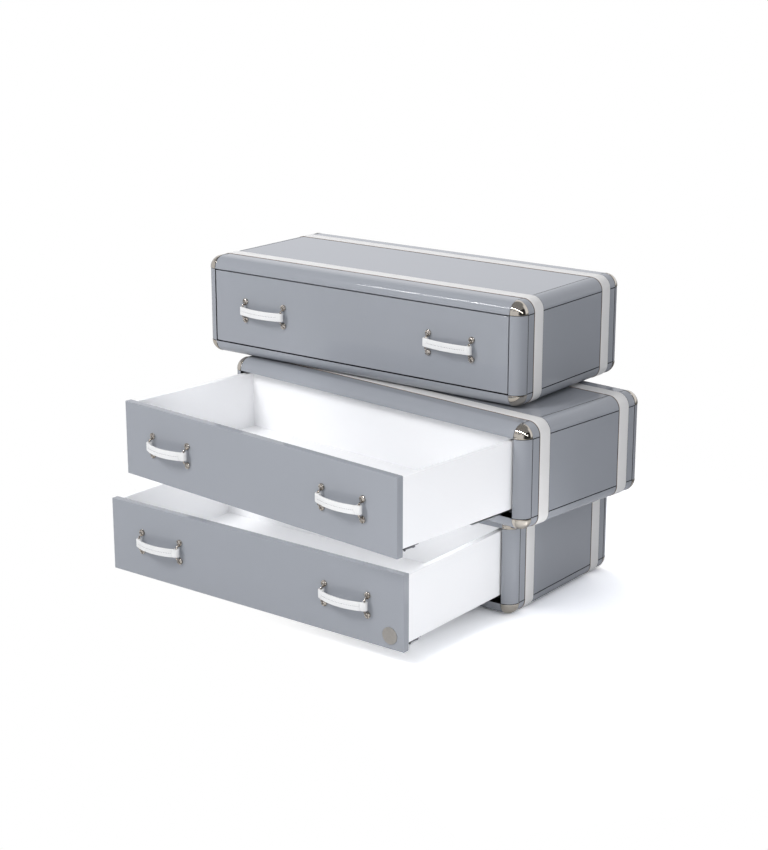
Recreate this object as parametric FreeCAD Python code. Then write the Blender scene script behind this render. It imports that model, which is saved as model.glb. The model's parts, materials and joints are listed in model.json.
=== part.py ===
import FreeCAD, Part
import os
from math import cos, radians, sin
from FreeCAD import Vector

# Chest on chest: three equal travel-trunk cases stacked askew, each with one drawer.
# Millimetres, +Z up, drawers pull towards -Y.  The origin is the middle of the floor
# glide under the centre of the lowest case.  Every case is built about its own centre,
# with its base at Z 0 and its drawer shut, and is then set in the stack.

# ---- One case ----
CASE_W = 1100.0            # over the side panels
CASE_D = 515.0             # front plane to back plane
CASE_H = 286.0             # base to top
EDGE_R = 35.0              # radius of every rounded edge and corner
PANEL_T = 19.0             # lacquered board of the carcass
SHADOW_W = 1.8             # shadow groove where a panel meets a moulding
SHADOW_DEPTH = 2.2
CAP_T = 0.7                # pressed metal corner cap, laid over the corner
BATTEN_T = 16.0            # packing board that carries a runner
BATTEN_TOP = 120.0

# ---- Leather bands round a case ----
STRAP_W = 42.0
STRAP_T = 2.0
STRAP_PROUD = 1.1
STRAP_INSET = 30.0         # from a moulding seam to the near edge of the band

# ---- Drawer ----
FRONT_T = 21.0
FRONT_GAP = 3.5            # reveal round the drawer front
FRONT_EASE = 1.2           # eased edge of the drawer front
BOX_SIDE_X = 510.0         # outer face of a drawer side
BOX_T = 16.0
BOX_LEN = 460.0
BOX_BASE = 60.0            # lower edge of the drawer sides
BOX_TOP = 243.0
BOTTOM_T = 8.0
BOTTOM_RECESS = 13.0       # drawer sides' lower edge to the underside of the bottom
GROOVE = 6.0               # depth that the bottom enters the boards round it
NOTCH_W = 56.0             # notch in the drawer back over each runner
NOTCH_TOP = 66.5

# ---- Undermount runner, as sections in X and Z on the right-hand side ----
STEEL_T = 1.5
RAIL_X = 478.0             # middle plane of the three nested members
RAIL_HALF_W = 13.0         # half width of the cabinet and drawer members
RAIL_LIP = 3.5             # inward lip of those two members
CABINET_BASE = 37.0
CABINET_RAIL_H = 12.0
CABINET_LEG_TOP = 58.0
CABINET_FRONT_Y = -214.0
CABINET_LEN = 450.0
DRAWER_RAIL_H = 19.0
DRAWER_RAIL_FRONT = 20.0   # from the drawer front's back face
DRAWER_RAIL_END_GAP = 0.5  # from its rear end to the drawer back
MIDDLE_HALF_W = 10.0
MIDDLE_LOW = 43.5          # underside of its lower flange
MIDDLE_HIGH = 65.5         # top of its upper flange
MIDDLE_WEB_T = 2.0
MIDDLE_FRONT_Y = -168.0
MIDDLE_LEN = 376.0
ROLLER_GAP = 0.3           # running clearance of a roller
ROLLER_L = 14.0
ROLLER_STEP = 42.0
ROLLERS_PER_RUN = 4
ROLLER_INSET = 18.0
HOOK_R = 2.0               # rear hook of the drawer member, in a hole of the drawer back
HOOK_L = 12.0
HOOK_Z = 69.3
HOOK_CLEAR = 0.2
TAB_FROM_FRONT = 120.0     # tilt-adjusting tab on the drawer member
TAB_W = 5.0
TAB_DROP = 8.0

# ---- Front locking device and its release lever ----
LOCK_LEN = 60.0
LOCK_BASE = 52.0
LOCK_WALL = 2.0
LOCK_INNER_X = 455.0
LOCK_CLEAR = 0.5
FLANGE_X0 = 493.5
FLANGE_X1 = 508.0
FLANGE_T = 3.0
LEVER_X0 = 496.5
LEVER_X1 = 504.5
LEVER_T = 3.0
LEVER_LEN = 40.0
LEVER_GRIP_L = 9.0
LEVER_GRIP_DROP = 1.5
PIVOT_FROM_FRONT = 12.0
PIVOT_Z = 53.0
PIVOT_R = 1.6
PIVOT_CLEAR = 0.06
LUG_R = 3.4
LUG_T = 2.0
LUG_GAP = 0.4

# ---- Handles ----
HANDLE_X = 326.0           # centre of a handle, from the middle of the drawer
HANDLE_Z = 141.5
BRACKET_X = 71.0           # from the centre of the handle to a bracket
ROSETTE_Z = 27.0           # from the centre of the handle to a rosette
ROSETTE_R = 8.9
ROSETTE_T = 4.6
ROD_R = 2.5
ROD_OUT = 14.5             # rod axis in front of the drawer front
ROD_FOOT_Z = 18.6
ROD_BEND_R = 4.5
SCREW_HEAD_R = 6.2
SCREW_HEAD_H = 2.2
SCREW_SHANK_R = 1.75
SCREW_LEN = 19.0
SLOT_W = 1.6
SLOT_DEPTH = 1.2
GRIP_H = 24.0
GRIP_T = 6.0
GRIP_LIFT = 1.5            # leather's middle above the bracket's
GRIP_FRONT_OUT = 37.5      # face of the leather at the middle of its bow
LOOP_R = 8.1               # leather rolled round the rod
LOOP_PROUD = 0.3           # of the loop over the bowed face that runs into it
LOOP_CLEAR = 0.2

# ---- Badge of the lowest drawer ----
BADGE_X = 467.0
BADGE_Z = 75.0
BADGE_R = 23.0
BADGE_T = 1.4
BADGE_RIM_W = 2.0
BADGE_RIM_H = 0.6

# ---- Stack ----
GLIDE_T = 2.5
GLIDE_R = 11.0
GLIDE_X = 480.0
GLIDE_Y = 207.5
PAD_R = 12.0
BOLT_R = 4.0
BOLT_HOLE_R = 4.5
BOLT_HEAD_R = 8.0
BOLT_HEAD_H = 5.0
NUT_R = 7.5
NUT_H = 6.5
DRAWER_OPEN = 435.0        # how far the two lower drawers stand open
PITCH = CASE_H + GLIDE_T   # from one case's base to the next

# Each case of the stack: name, offset in X and Y, turn about Z in degrees, drawer opening.
STACK = (
    ("lower", 0.0, 0.0, 0.0, DRAWER_OPEN),
    ("middle", 121.0, -41.5, -6.0, DRAWER_OPEN),
    ("upper", -7.0, 28.0, 0.0, 0.0),
)
# Bolts and pads between two cases, in the stack's own X and Y.
JOINT_POINTS = ((-350.0, -100.0), (440.0, -100.0), (-330.0, 100.0), (330.0, 60.0))

# ---- Derived ----
FLAT_X = CASE_W / 2 - EDGE_R         # half width of the flat top and of the opening
FLAT_Y = CASE_D / 2 - EDGE_R
FLAT_TOP = CASE_H - EDGE_R
FRONT_Y = -CASE_D / 2                # front plane of a case
BOX_Y0 = FRONT_Y + FRONT_T           # back face of the drawer front
BOX_Y1 = BOX_Y0 + BOX_LEN
BOTTOM_Z = BOX_BASE + BOTTOM_RECESS  # underside of the drawer bottom
STRAP_Y1 = FLAT_Y - STRAP_INSET
STRAP_Y0 = STRAP_Y1 - STRAP_W
SIDES = (-1, 1)
# Turns of 90 degrees about Z that bring a +X +Y corner piece to each upright edge.
QUARTER_TURNS = {(1, 1): 0, (-1, 1): 1, (-1, -1): 2, (1, -1): 3}


def box(x0, x1, y0, y1, z0, z1):
    """A box between two corners."""
    return Part.makeBox(x1 - x0, y1 - y0, z1 - z0, Vector(x0, y0, z0))


def rod(radius, length, start, direction):
    """A round bar from a point along a direction."""
    return Part.makeCylinder(radius, length, start, direction)


def mirrored_x(shape):
    """The same piece for the left-hand side."""
    return shape.mirror(Vector(0, 0, 0), Vector(1, 0, 0))


def both_sides(shape):
    """The right-hand piece and its mirror image."""
    return [shape, mirrored_x(shape)]


def cut_all(shape, tools):
    """The shape with every tool taken out of it."""
    return shape.cut(tools) if tools else shape


def quarter_round(length):
    """A moulding along +X from the origin: a quarter disc that bulges to -Y and +Z."""
    corner = Vector(0, 0, 0)
    low = Vector(0, -EDGE_R, 0)
    high = Vector(0, 0, EDGE_R)
    middle = Vector(0, -EDGE_R * cos(radians(45)), EDGE_R * sin(radians(45)))
    edges = [
        Part.makeLine(corner, low),
        Part.Arc(low, middle, high).toShape(),
        Part.makeLine(high, corner),
    ]
    return Part.Face(Part.Wire(edges)).extrude(Vector(length, 0, 0))


def rounded_loop(half_w, z0, z1, radius, y0, y1):
    """A solid block along Y whose X-Z section is a rectangle with round corners."""
    block = box(-half_w, half_w, y0, y1, z0, z1)
    along_y = [e for e in block.Edges if abs(e.tangentAt(e.FirstParameter).y) > 0.9]
    return block.makeFillet(radius, along_y)


# ---- Carcass ----

def strap_loop(y0, y1):
    """One leather band as a closed loop, slightly proud of the case."""
    outer = rounded_loop(CASE_W / 2 + STRAP_PROUD, -STRAP_PROUD, CASE_H + STRAP_PROUD,
                         EDGE_R + STRAP_PROUD, y0, y1)
    inset = STRAP_T - STRAP_PROUD
    inner = rounded_loop(CASE_W / 2 - inset, inset, CASE_H - inset, EDGE_R - inset, y0, y1)
    return outer.cut(inner)


def strap_loops():
    return [strap_loop(STRAP_Y0, STRAP_Y1), strap_loop(-STRAP_Y1, -STRAP_Y0)]


def shadowed_panel(half_a, half_b, thickness, groove_b=SHADOW_W):
    """A flat panel at Z 0 to thickness whose upper arrises are cut back as a shadow groove.

    groove_b is the groove's width along the edges at -half_b and half_b.
    """
    body = box(-half_a, half_a, -half_b, half_b, 0, thickness - SHADOW_DEPTH)
    face = box(-half_a + SHADOW_W, half_a - SHADOW_W, -half_b + groove_b, half_b - groove_b,
               thickness - SHADOW_DEPTH, thickness)
    return body.fuse(face).removeSplitter()


def top_panel():
    """The top runs into its long mouldings with no groove, and is grooved at its ends."""
    panel = shadowed_panel(FLAT_X, FLAT_Y, PANEL_T, groove_b=0)
    panel.translate(Vector(0, 0, CASE_H - PANEL_T))
    return panel


def bottom_panel():
    panel = shadowed_panel(FLAT_X, FLAT_Y, PANEL_T, groove_b=0)
    panel.rotate(Vector(0, 0, 0), Vector(1, 0, 0), 180)
    panel.translate(Vector(0, 0, PANEL_T))
    return panel


def side_panel():
    half_h = FLAT_TOP / 2 - EDGE_R / 2
    panel = shadowed_panel(half_h, FLAT_Y, PANEL_T)
    panel.rotate(Vector(0, 0, 0), Vector(0, 1, 0), 90)
    panel.translate(Vector(CASE_W / 2 - PANEL_T, 0, CASE_H / 2))
    return panel


def back_panel():
    half_h = FLAT_TOP / 2 - EDGE_R / 2
    panel = shadowed_panel(FLAT_X, half_h, PANEL_T)
    panel.rotate(Vector(0, 0, 0), Vector(1, 0, 0), -90)
    panel.translate(Vector(0, CASE_D / 2 - PANEL_T, CASE_H / 2))
    return panel


def octant(radius, side_x, side_y, side_z):
    """An eighth of a ball at a corner of the case."""
    ball = Part.makeSphere(radius, Vector(0, 0, 0), Vector(0, 0, 1), 0, 90, 90)
    if side_z < 0:
        ball.rotate(Vector(0, 0, 0), Vector(1, 0, 0), -90)
    ball.rotate(Vector(0, 0, 0), Vector(0, 0, 1), 90 * QUARTER_TURNS[side_x, side_y])
    ball.translate(Vector(side_x * FLAT_X, side_y * FLAT_Y, FLAT_TOP if side_z > 0 else EDGE_R))
    return ball


def corner_cap(side_x, side_y, side_z):
    """A pressed cap that covers one rounded corner."""
    return octant(EDGE_R + CAP_T, side_x, side_y, side_z).cut(
        octant(EDGE_R, side_x, side_y, side_z))


def corner_post(side_x, side_y):
    """An upright quarter-round post whose ends are turned to an eighth of a ball."""
    post = Part.makeCylinder(EDGE_R, FLAT_TOP - EDGE_R, Vector(0, 0, 0), Vector(0, 0, 1), 90)
    post.rotate(Vector(0, 0, 0), Vector(0, 0, 1), 90 * QUARTER_TURNS[side_x, side_y])
    post.translate(Vector(side_x * FLAT_X, side_y * FLAT_Y, EDGE_R))
    ends = [octant(EDGE_R, side_x, side_y, side_z) for side_z in SIDES]
    return post.fuse(ends).removeSplitter()


def rail_along_x(side_y, side_z):
    """A long moulding at the front or back, over or under the flat faces."""
    rail = quarter_round(2 * FLAT_X)
    if side_y > 0:
        rail.rotate(Vector(FLAT_X, 0, 0), Vector(0, 0, 1), 180)
    rail.translate(Vector(-FLAT_X, side_y * FLAT_Y, FLAT_TOP))
    if side_z < 0:
        rail = rail.mirror(Vector(0, 0, CASE_H / 2), Vector(0, 0, 1))
    return rail


def rail_along_y(side_z):
    """A short moulding over or under the right-hand side panel."""
    rail = quarter_round(2 * FLAT_Y)
    rail.rotate(Vector(0, 0, 0), Vector(0, 0, 1), 90)
    rail.translate(Vector(FLAT_X, -FLAT_Y, FLAT_TOP))
    if side_z < 0:
        rail = rail.mirror(Vector(0, 0, CASE_H / 2), Vector(0, 0, 1))
    return rail


def edge_mouldings(grooves):
    """The twelve rounded edges: four posts, four long rails and four short rails."""
    pieces = [corner_post(side_x, side_y) for side_x in SIDES for side_y in SIDES]
    pieces += [rail_along_x(side_y, side_z) for side_y in SIDES for side_z in SIDES]
    for side_z in SIDES:
        pieces += both_sides(cut_all(rail_along_y(side_z), grooves))
    return pieces


def runner_batten():
    """The packing board that brings a runner in to the edge of the opening."""
    return box(FLAT_X, FLAT_X + BATTEN_T, -FLAT_Y, FLAT_Y, EDGE_R, BATTEN_TOP)


# ---- Runners ----

def channel(z0, height, y0, length, opens_up):
    """A lipped steel channel of the runner, open upwards or downwards."""
    x0, x1 = RAIL_X - RAIL_HALF_W, RAIL_X + RAIL_HALF_W
    y1, z1 = y0 + length, z0 + height
    hollow = box(x0 + STEEL_T, x1 - STEEL_T, y0, y1, z0 + STEEL_T, z1 - STEEL_T)
    mouth_x0, mouth_x1 = x0 + STEEL_T + RAIL_LIP, x1 - STEEL_T - RAIL_LIP
    if opens_up:
        mouth = box(mouth_x0, mouth_x1, y0, y1, z1 - STEEL_T, z1)
    else:
        mouth = box(mouth_x0, mouth_x1, y0, y1, z0, z0 + STEEL_T)
    return box(x0, x1, y0, y1, z0, z1).cut([hollow, mouth])


def cabinet_runner():
    """The fixed member: a channel with a foot and a leg against the batten."""
    y0, y1 = CABINET_FRONT_Y, CABINET_FRONT_Y + CABINET_LEN
    rail = channel(CABINET_BASE, CABINET_RAIL_H, y0, CABINET_LEN, True)
    foot = box(RAIL_X + RAIL_HALF_W, FLAT_X, y0, y1, CABINET_BASE, CABINET_BASE + STEEL_T)
    leg = box(FLAT_X - STEEL_T, FLAT_X, y0, y1, CABINET_BASE, CABINET_LEG_TOP)
    return rail.fuse([foot, leg]).removeSplitter()


def middle_runner():
    """The intermediate member: an I section and the rollers that it carries."""
    x0, x1 = RAIL_X - MIDDLE_HALF_W, RAIL_X + MIDDLE_HALF_W
    y0, y1 = MIDDLE_FRONT_Y, MIDDLE_FRONT_Y + MIDDLE_LEN
    low = box(x0, x1, y0, y1, MIDDLE_LOW, MIDDLE_LOW + STEEL_T)
    web = box(RAIL_X - MIDDLE_WEB_T / 2, RAIL_X + MIDDLE_WEB_T / 2, y0, y1,
              MIDDLE_LOW, MIDDLE_HIGH)
    high = box(x0, x1, y0, y1, MIDDLE_HIGH - STEEL_T, MIDDLE_HIGH)
    member = low.fuse([web, high]).removeSplitter()
    low_r = (MIDDLE_LOW - CABINET_BASE - STEEL_T - ROLLER_GAP) / 2
    high_r = (BOTTOM_Z - STEEL_T - MIDDLE_HIGH - ROLLER_GAP) / 2
    x_start = RAIL_X - ROLLER_L / 2
    rollers = []
    for step in range(ROLLERS_PER_RUN):
        y_high = y0 + ROLLER_INSET + ROLLER_STEP * step
        y_low = y1 - ROLLER_INSET - ROLLER_STEP * step
        rollers.append(rod(high_r, ROLLER_L, Vector(x_start, y_high, MIDDLE_HIGH + high_r),
                           Vector(1, 0, 0)))
        rollers.append(rod(low_r, ROLLER_L, Vector(x_start, y_low, MIDDLE_LOW - low_r),
                           Vector(1, 0, 0)))
    return [member] + rollers


def rear_hook(radius):
    """The pin at the rear of the drawer member, or the hole that takes it."""
    start = Vector(RAIL_X, BOX_Y1 - BOX_T - DRAWER_RAIL_END_GAP, HOOK_Z)
    return rod(radius, HOOK_L, start, Vector(0, 1, 0))


def drawer_runner():
    """The member under the drawer bottom, with its rear hook and its tilt tab."""
    y0 = BOX_Y0 + DRAWER_RAIL_FRONT
    rail_end = BOX_Y1 - BOX_T - DRAWER_RAIL_END_GAP
    rail = channel(BOTTOM_Z - DRAWER_RAIL_H, DRAWER_RAIL_H, y0, rail_end - y0, False)
    plate = box(RAIL_X - RAIL_HALF_W, RAIL_X + RAIL_HALF_W, rail_end - STEEL_T, rail_end,
                NOTCH_TOP, BOTTOM_Z)
    tab_x = RAIL_X + RAIL_HALF_W
    tab_y = BOX_Y0 + TAB_FROM_FRONT
    tab_top = BOTTOM_Z - DRAWER_RAIL_H + TAB_W
    arm = box(tab_x, tab_x + 2 * STEEL_T, tab_y, tab_y + TAB_W, tab_top - STEEL_T, tab_top)
    drop = box(tab_x + STEEL_T, tab_x + 2 * STEEL_T, tab_y, tab_y + TAB_W,
               tab_top - TAB_DROP, tab_top)
    hook = rear_hook(HOOK_R)
    return rail.fuse([plate, arm, drop, hook]).removeSplitter()


def lock_body():
    """The front locking device, clasped round the end of the drawer member."""
    y0, y1 = BOX_Y0, BOX_Y0 + LOCK_LEN
    x1 = FLANGE_X0
    block = box(LOCK_INNER_X, x1, y0, y1, LOCK_BASE, BOTTOM_Z)
    rail_x0 = RAIL_X - RAIL_HALF_W
    rail_x1 = RAIL_X + RAIL_HALF_W
    pocket = box(rail_x0 - LOCK_CLEAR, rail_x1 + LOCK_CLEAR, y0 + DRAWER_RAIL_FRONT, y1,
                 BOTTOM_Z - DRAWER_RAIL_H, BOTTOM_Z)
    slim = box(LOCK_INNER_X + LOCK_WALL, rail_x0 - LOCK_CLEAR - LOCK_WALL,
               y0 + LOCK_WALL, y1, LOCK_BASE + LOCK_WALL, BOTTOM_Z)
    flange = box(x1, FLANGE_X1, y0, y1, BOX_BASE - FLANGE_T, BOX_BASE)
    pivot_y = y0 + PIVOT_FROM_FRONT
    lugs = []
    for lug_x in (LEVER_X0 - LUG_GAP - LUG_T, LEVER_X1 + LUG_GAP):
        disc = rod(LUG_R, LUG_T, Vector(lug_x, pivot_y, PIVOT_Z), Vector(1, 0, 0))
        neck = box(lug_x, lug_x + LUG_T, pivot_y - LUG_R, pivot_y + LUG_R,
                   PIVOT_Z, BOX_BASE - FLANGE_T)
        lugs.append(disc.fuse(neck))
    bore = rod(PIVOT_R + PIVOT_CLEAR, FLANGE_X1 - FLANGE_X0, Vector(FLANGE_X0, pivot_y, PIVOT_Z),
               Vector(1, 0, 0))
    body = block.cut([pocket, slim]).fuse([flange] + lugs)
    return body.cut(bore).removeSplitter()


def release_lever():
    """The spring lever that frees the drawer: it turns down about its trunnions."""
    pivot_y = BOX_Y0 + PIVOT_FROM_FRONT
    blade = box(LEVER_X0, LEVER_X1, pivot_y, pivot_y + LEVER_LEN,
                PIVOT_Z - LEVER_T / 2, PIVOT_Z + LEVER_T / 2)
    boss = rod(LEVER_T / 2, LEVER_X1 - LEVER_X0, Vector(LEVER_X0, pivot_y, PIVOT_Z),
               Vector(1, 0, 0))
    grip = box(LEVER_X0, LEVER_X1, pivot_y + LEVER_LEN - LEVER_GRIP_L, pivot_y + LEVER_LEN,
               PIVOT_Z - LEVER_T / 2 - LEVER_GRIP_DROP, PIVOT_Z + LEVER_T / 2)
    pin_reach = LUG_GAP + LUG_T
    trunnion = rod(PIVOT_R, LEVER_X1 - LEVER_X0 + 2 * pin_reach,
                   Vector(LEVER_X0 - pin_reach, pivot_y, PIVOT_Z), Vector(1, 0, 0))
    return blade.fuse([boss, grip, trunnion]).removeSplitter()


# ---- Drawer ----

def screw_points():
    """Centres of the handle screws on the drawer front, in X and Z."""
    points = []
    for handle in SIDES:
        for bracket in SIDES:
            for level in SIDES:
                points.append((handle * HANDLE_X + bracket * BRACKET_X,
                               HANDLE_Z + level * ROSETTE_Z))
    return points


def screw_shank(x, z):
    """The threaded part of a handle screw, from the rosette's face into the drawer front."""
    return rod(SCREW_SHANK_R, SCREW_LEN, Vector(x, FRONT_Y - ROSETTE_T, z), Vector(0, 1, 0))


def handle_screw(x, z):
    """A round-headed screw with a plain slot."""
    face_y = FRONT_Y - ROSETTE_T
    ball_r = (SCREW_HEAD_R ** 2 + SCREW_HEAD_H ** 2) / (2 * SCREW_HEAD_H)
    ball = Part.makeSphere(ball_r, Vector(x, face_y - SCREW_HEAD_H + ball_r, z))
    half_space = box(x - ball_r, x + ball_r, face_y - ball_r, face_y, z - ball_r, z + ball_r)
    head = ball.common(half_space)
    slot = box(x - SCREW_HEAD_R, x + SCREW_HEAD_R,
               face_y - SCREW_HEAD_H, face_y - SCREW_HEAD_H + SLOT_DEPTH,
               z - SLOT_W / 2, z + SLOT_W / 2)
    slot.rotate(Vector(x, 0, z), Vector(0, 1, 0), 45)
    return head.cut(slot).fuse(screw_shank(x, z)).removeSplitter()


def drawer_front():
    """The lacquered front: a plain board with eased edges that fills the opening."""
    half_w = FLAT_X - FRONT_GAP
    board = box(-half_w, half_w, FRONT_Y, BOX_Y0, EDGE_R + FRONT_GAP, FLAT_TOP - FRONT_GAP)
    board = board.makeFillet(FRONT_EASE, board.Edges)
    return board.cut([drawer_bottom()] + [screw_shank(x, z) for x, z in screw_points()])


def drawer_bottom():
    half_w = BOX_SIDE_X - BOX_T + GROOVE
    return box(-half_w, half_w, BOX_Y0 - GROOVE, BOX_Y1 - BOX_T + GROOVE,
               BOTTOM_Z, BOTTOM_Z + BOTTOM_T)


def drawer_side():
    side = box(BOX_SIDE_X - BOX_T, BOX_SIDE_X, BOX_Y0, BOX_Y1, BOX_BASE, BOX_TOP)
    return side.cut(drawer_bottom())


def drawer_back():
    """The back board, notched over the runners and bored for their rear hooks."""
    half_w = BOX_SIDE_X - BOX_T
    y0, y1 = BOX_Y1 - BOX_T, BOX_Y1
    board = box(-half_w, half_w, y0, y1, BOX_BASE, BOX_TOP)
    notch = box(half_w - NOTCH_W, half_w, y0, y1, BOX_BASE, NOTCH_TOP)
    hook_hole = rear_hook(HOOK_R + HOOK_CLEAR)
    return board.cut([drawer_bottom()] + both_sides(notch) + both_sides(hook_hole))


def handle_bracket(x):
    """A bent rod between two rosettes, cast in one piece, on the drawer front at X."""
    front = FRONT_Y
    reach = ROD_OUT - ROD_BEND_R
    straight = ROD_FOOT_Z - ROD_BEND_R
    slant = ROD_BEND_R * (1 - cos(radians(45)))
    out_y = front - ROD_OUT
    path = []
    for level in SIDES:
        foot = Vector(x, front - ROSETTE_T / 2, HANDLE_Z + level * ROD_FOOT_Z)
        bend_a = Vector(x, front - reach, HANDLE_Z + level * ROD_FOOT_Z)
        bend_m = Vector(x, out_y + slant, HANDLE_Z + level * (ROD_FOOT_Z - slant))
        bend_b = Vector(x, out_y, HANDLE_Z + level * straight)
        path.append([Part.makeLine(foot, bend_a), Part.Arc(bend_a, bend_m, bend_b).toShape()])
    bar = Part.makeLine(Vector(x, out_y, HANDLE_Z - straight), Vector(x, out_y, HANDLE_Z + straight))
    wire = Part.Wire(Part.__sortEdges__(path[0] + [bar] + path[1]))
    start = Vector(x, front - ROSETTE_T / 2, HANDLE_Z - ROD_FOOT_Z)
    section = Part.Face(Part.Wire(Part.makeCircle(ROD_R, start, Vector(0, 1, 0))))
    bent_rod = wire.makePipe(section)
    pieces = []
    for level in SIDES:
        centre = Vector(x, front - ROSETTE_T, HANDLE_Z + level * ROSETTE_Z)
        pieces.append(rod(ROSETTE_R, ROSETTE_T, centre, Vector(0, 1, 0)))
    casting = bent_rod.fuse(pieces)
    holes = [screw_shank(x, HANDLE_Z + level * ROSETTE_Z) for level in SIDES]
    return casting.cut(holes)


def handle_grip(centre_x):
    """A bowed leather strap, rolled round the rod of the bracket at each end."""
    roll = LOOP_R - LOOP_PROUD
    reach = GRIP_FRONT_OUT - ROD_OUT
    face_r = (BRACKET_X ** 2 + reach ** 2 - roll ** 2) / (2 * (reach - roll))
    half = BRACKET_X * face_r / (face_r - roll)
    z0 = HANDLE_Z + GRIP_LIFT - GRIP_H / 2
    centre = Vector(centre_x, FRONT_Y - GRIP_FRONT_OUT + face_r, z0)
    ring = Part.makeCylinder(face_r, GRIP_H, centre).cut(
        Part.makeCylinder(face_r - GRIP_T, GRIP_H, centre))
    window = box(centre_x - half, centre_x + half, FRONT_Y - GRIP_FRONT_OUT - GRIP_T,
                 FRONT_Y, z0, z0 + GRIP_H)
    band = ring.common(window)
    loops = []
    holes = []
    for end in SIDES:
        rod_place = Vector(centre_x + end * BRACKET_X, FRONT_Y - ROD_OUT, z0)
        loops.append(Part.makeCylinder(LOOP_R, GRIP_H, rod_place))
        holes.append(Part.makeCylinder(ROD_R + LOOP_CLEAR, GRIP_H, rod_place))
    return band.fuse(loops).cut(holes).removeSplitter()


def badge():
    """A blank round plate with a raised rim."""
    start = Vector(BADGE_X, FRONT_Y, BADGE_Z)
    outward = Vector(0, -1, 0)
    plate = rod(BADGE_R, BADGE_T + BADGE_RIM_H, start, outward)
    dish = rod(BADGE_R - BADGE_RIM_W, BADGE_RIM_H, start + outward * BADGE_T, outward)
    return plate.cut(dish)


# ---- Stack ----

def in_stack(shapes, case, opening=0.0):
    """Copies of one case's pieces, set in the stack, pulled forward by an opening."""
    _, offset_x, offset_y, turn, _ = case
    level = [entry[0] for entry in STACK].index(case[0])
    placed = []
    for shape in shapes:
        moved = shape.copy()
        moved.translate(Vector(0, -opening, 0))
        moved.rotate(Vector(0, 0, 0), Vector(0, 0, 1), turn)
        moved.translate(Vector(offset_x, offset_y, GLIDE_T + PITCH * level))
        placed.append(moved)
    return placed


def stack_hardware():
    """Glides under the lowest case, pads between cases, and the bolts that join them."""
    glide_points = [(0.0, 0.0)] + [(sx * GLIDE_X, sy * GLIDE_Y) for sx in SIDES for sy in SIDES]
    glides = [Part.makeCylinder(GLIDE_R, GLIDE_T, Vector(x, y, 0)) for x, y in glide_points]
    bolts = []
    clearances = []
    for level in range(1, len(STACK)):
        pad_z = PITCH * level
        panel_under = pad_z - PANEL_T
        panel_over = pad_z + GLIDE_T + PANEL_T
        for x, y in JOINT_POINTS:
            hole = Part.makeCylinder(BOLT_HOLE_R, panel_over - panel_under, Vector(x, y, panel_under))
            glides.append(Part.makeCylinder(PAD_R, GLIDE_T, Vector(x, y, pad_z)).cut(hole))
            head = Part.makeCylinder(BOLT_HEAD_R, BOLT_HEAD_H, Vector(x, y, panel_under - BOLT_HEAD_H))
            shank = Part.makeCylinder(BOLT_R, panel_over + NUT_H - panel_under, Vector(x, y, panel_under))
            nut = Part.makeCylinder(NUT_R, NUT_H, Vector(x, y, panel_over)).cut(shank)
            bolts += [head.fuse(shank).removeSplitter(), nut]
            clearances.append(hole)
    return glides, bolts, clearances


def write(name, solids):
    """One STEP file for each named piece or group of equal pieces."""
    shape = solids[0] if len(solids) == 1 else Part.makeCompound(solids)
    bad = [s for s in solids if not s.isValid() or len(s.Solids) != 1]
    print(f"{name:32s} solids {len(solids):2d}  volume {shape.Volume / 1000:9.1f} cm3"
          + ("  INVALID" if bad else ""))
    shape.exportStep(f"parts/{name}.step")


def main():
    os.makedirs("parts", exist_ok=True)
    straps = strap_loops()
    carcass = {
        "top_panel": [cut_all(top_panel(), straps)],
        "bottom_panel": [cut_all(bottom_panel(), straps)],
        "side_panels": both_sides(cut_all(side_panel(), straps)),
        "back_panel": [back_panel()],
        "edge_mouldings": edge_mouldings(straps),
        "corner_caps": [corner_cap(x, y, z) for x in SIDES for y in SIDES for z in SIDES],
        "straps": straps,
    }
    shared = {
        "runner_battens": both_sides(runner_batten()),
        "cabinet_runners": both_sides(cabinet_runner()),
    }
    rollers_and_member = middle_runner()
    middle = {
        "middle_runners": rollers_and_member + [mirrored_x(s) for s in rollers_and_member],
    }
    screws = screw_points()
    bracket_x = sorted({x for x, _ in screws})
    drawer = {
        "drawer_runners": both_sides(drawer_runner()),
        "drawer_locks": both_sides(lock_body()),
        "release_levers": both_sides(release_lever()),
        "drawer_front": [drawer_front()],
        "drawer_sides": both_sides(drawer_side()),
        "drawer_back": [drawer_back()],
        "drawer_bottom": [drawer_bottom()],
        "handle_grips": [handle_grip(side * HANDLE_X) for side in SIDES],
        "handle_brackets": [handle_bracket(x) for x in bracket_x],
        "handle_screws": [handle_screw(x, z) for x, z in screws],
    }
    glides, bolts, bolt_holes = stack_hardware()
    for case in STACK:
        name, _, _, _, opening = case
        for piece, shapes in carcass.items():
            placed = in_stack(shapes, case)
            if piece in ("top_panel", "bottom_panel"):
                placed = [cut_all(s, bolt_holes) for s in placed]
            write(f"{name}_{piece}", placed)
        for piece, shapes in middle.items():
            write(f"{name}_{piece}", in_stack(shapes, case, opening / 2))
        for piece, shapes in drawer.items():
            write(f"{name}_{piece}", in_stack(shapes, case, opening))
    for piece, shapes in shared.items():
        write(piece, [placed for case in STACK for placed in in_stack(shapes, case)])
    write("badge", in_stack([badge()], STACK[0], DRAWER_OPEN))
    write("glides_and_pads", glides)
    write("stack_bolts", bolts)


main()
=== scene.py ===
import json
from math import asin, atan2, cos, exp, pi, radians, sin

import bmesh
import bpy
from mathutils import Matrix, Vector, noise


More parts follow.
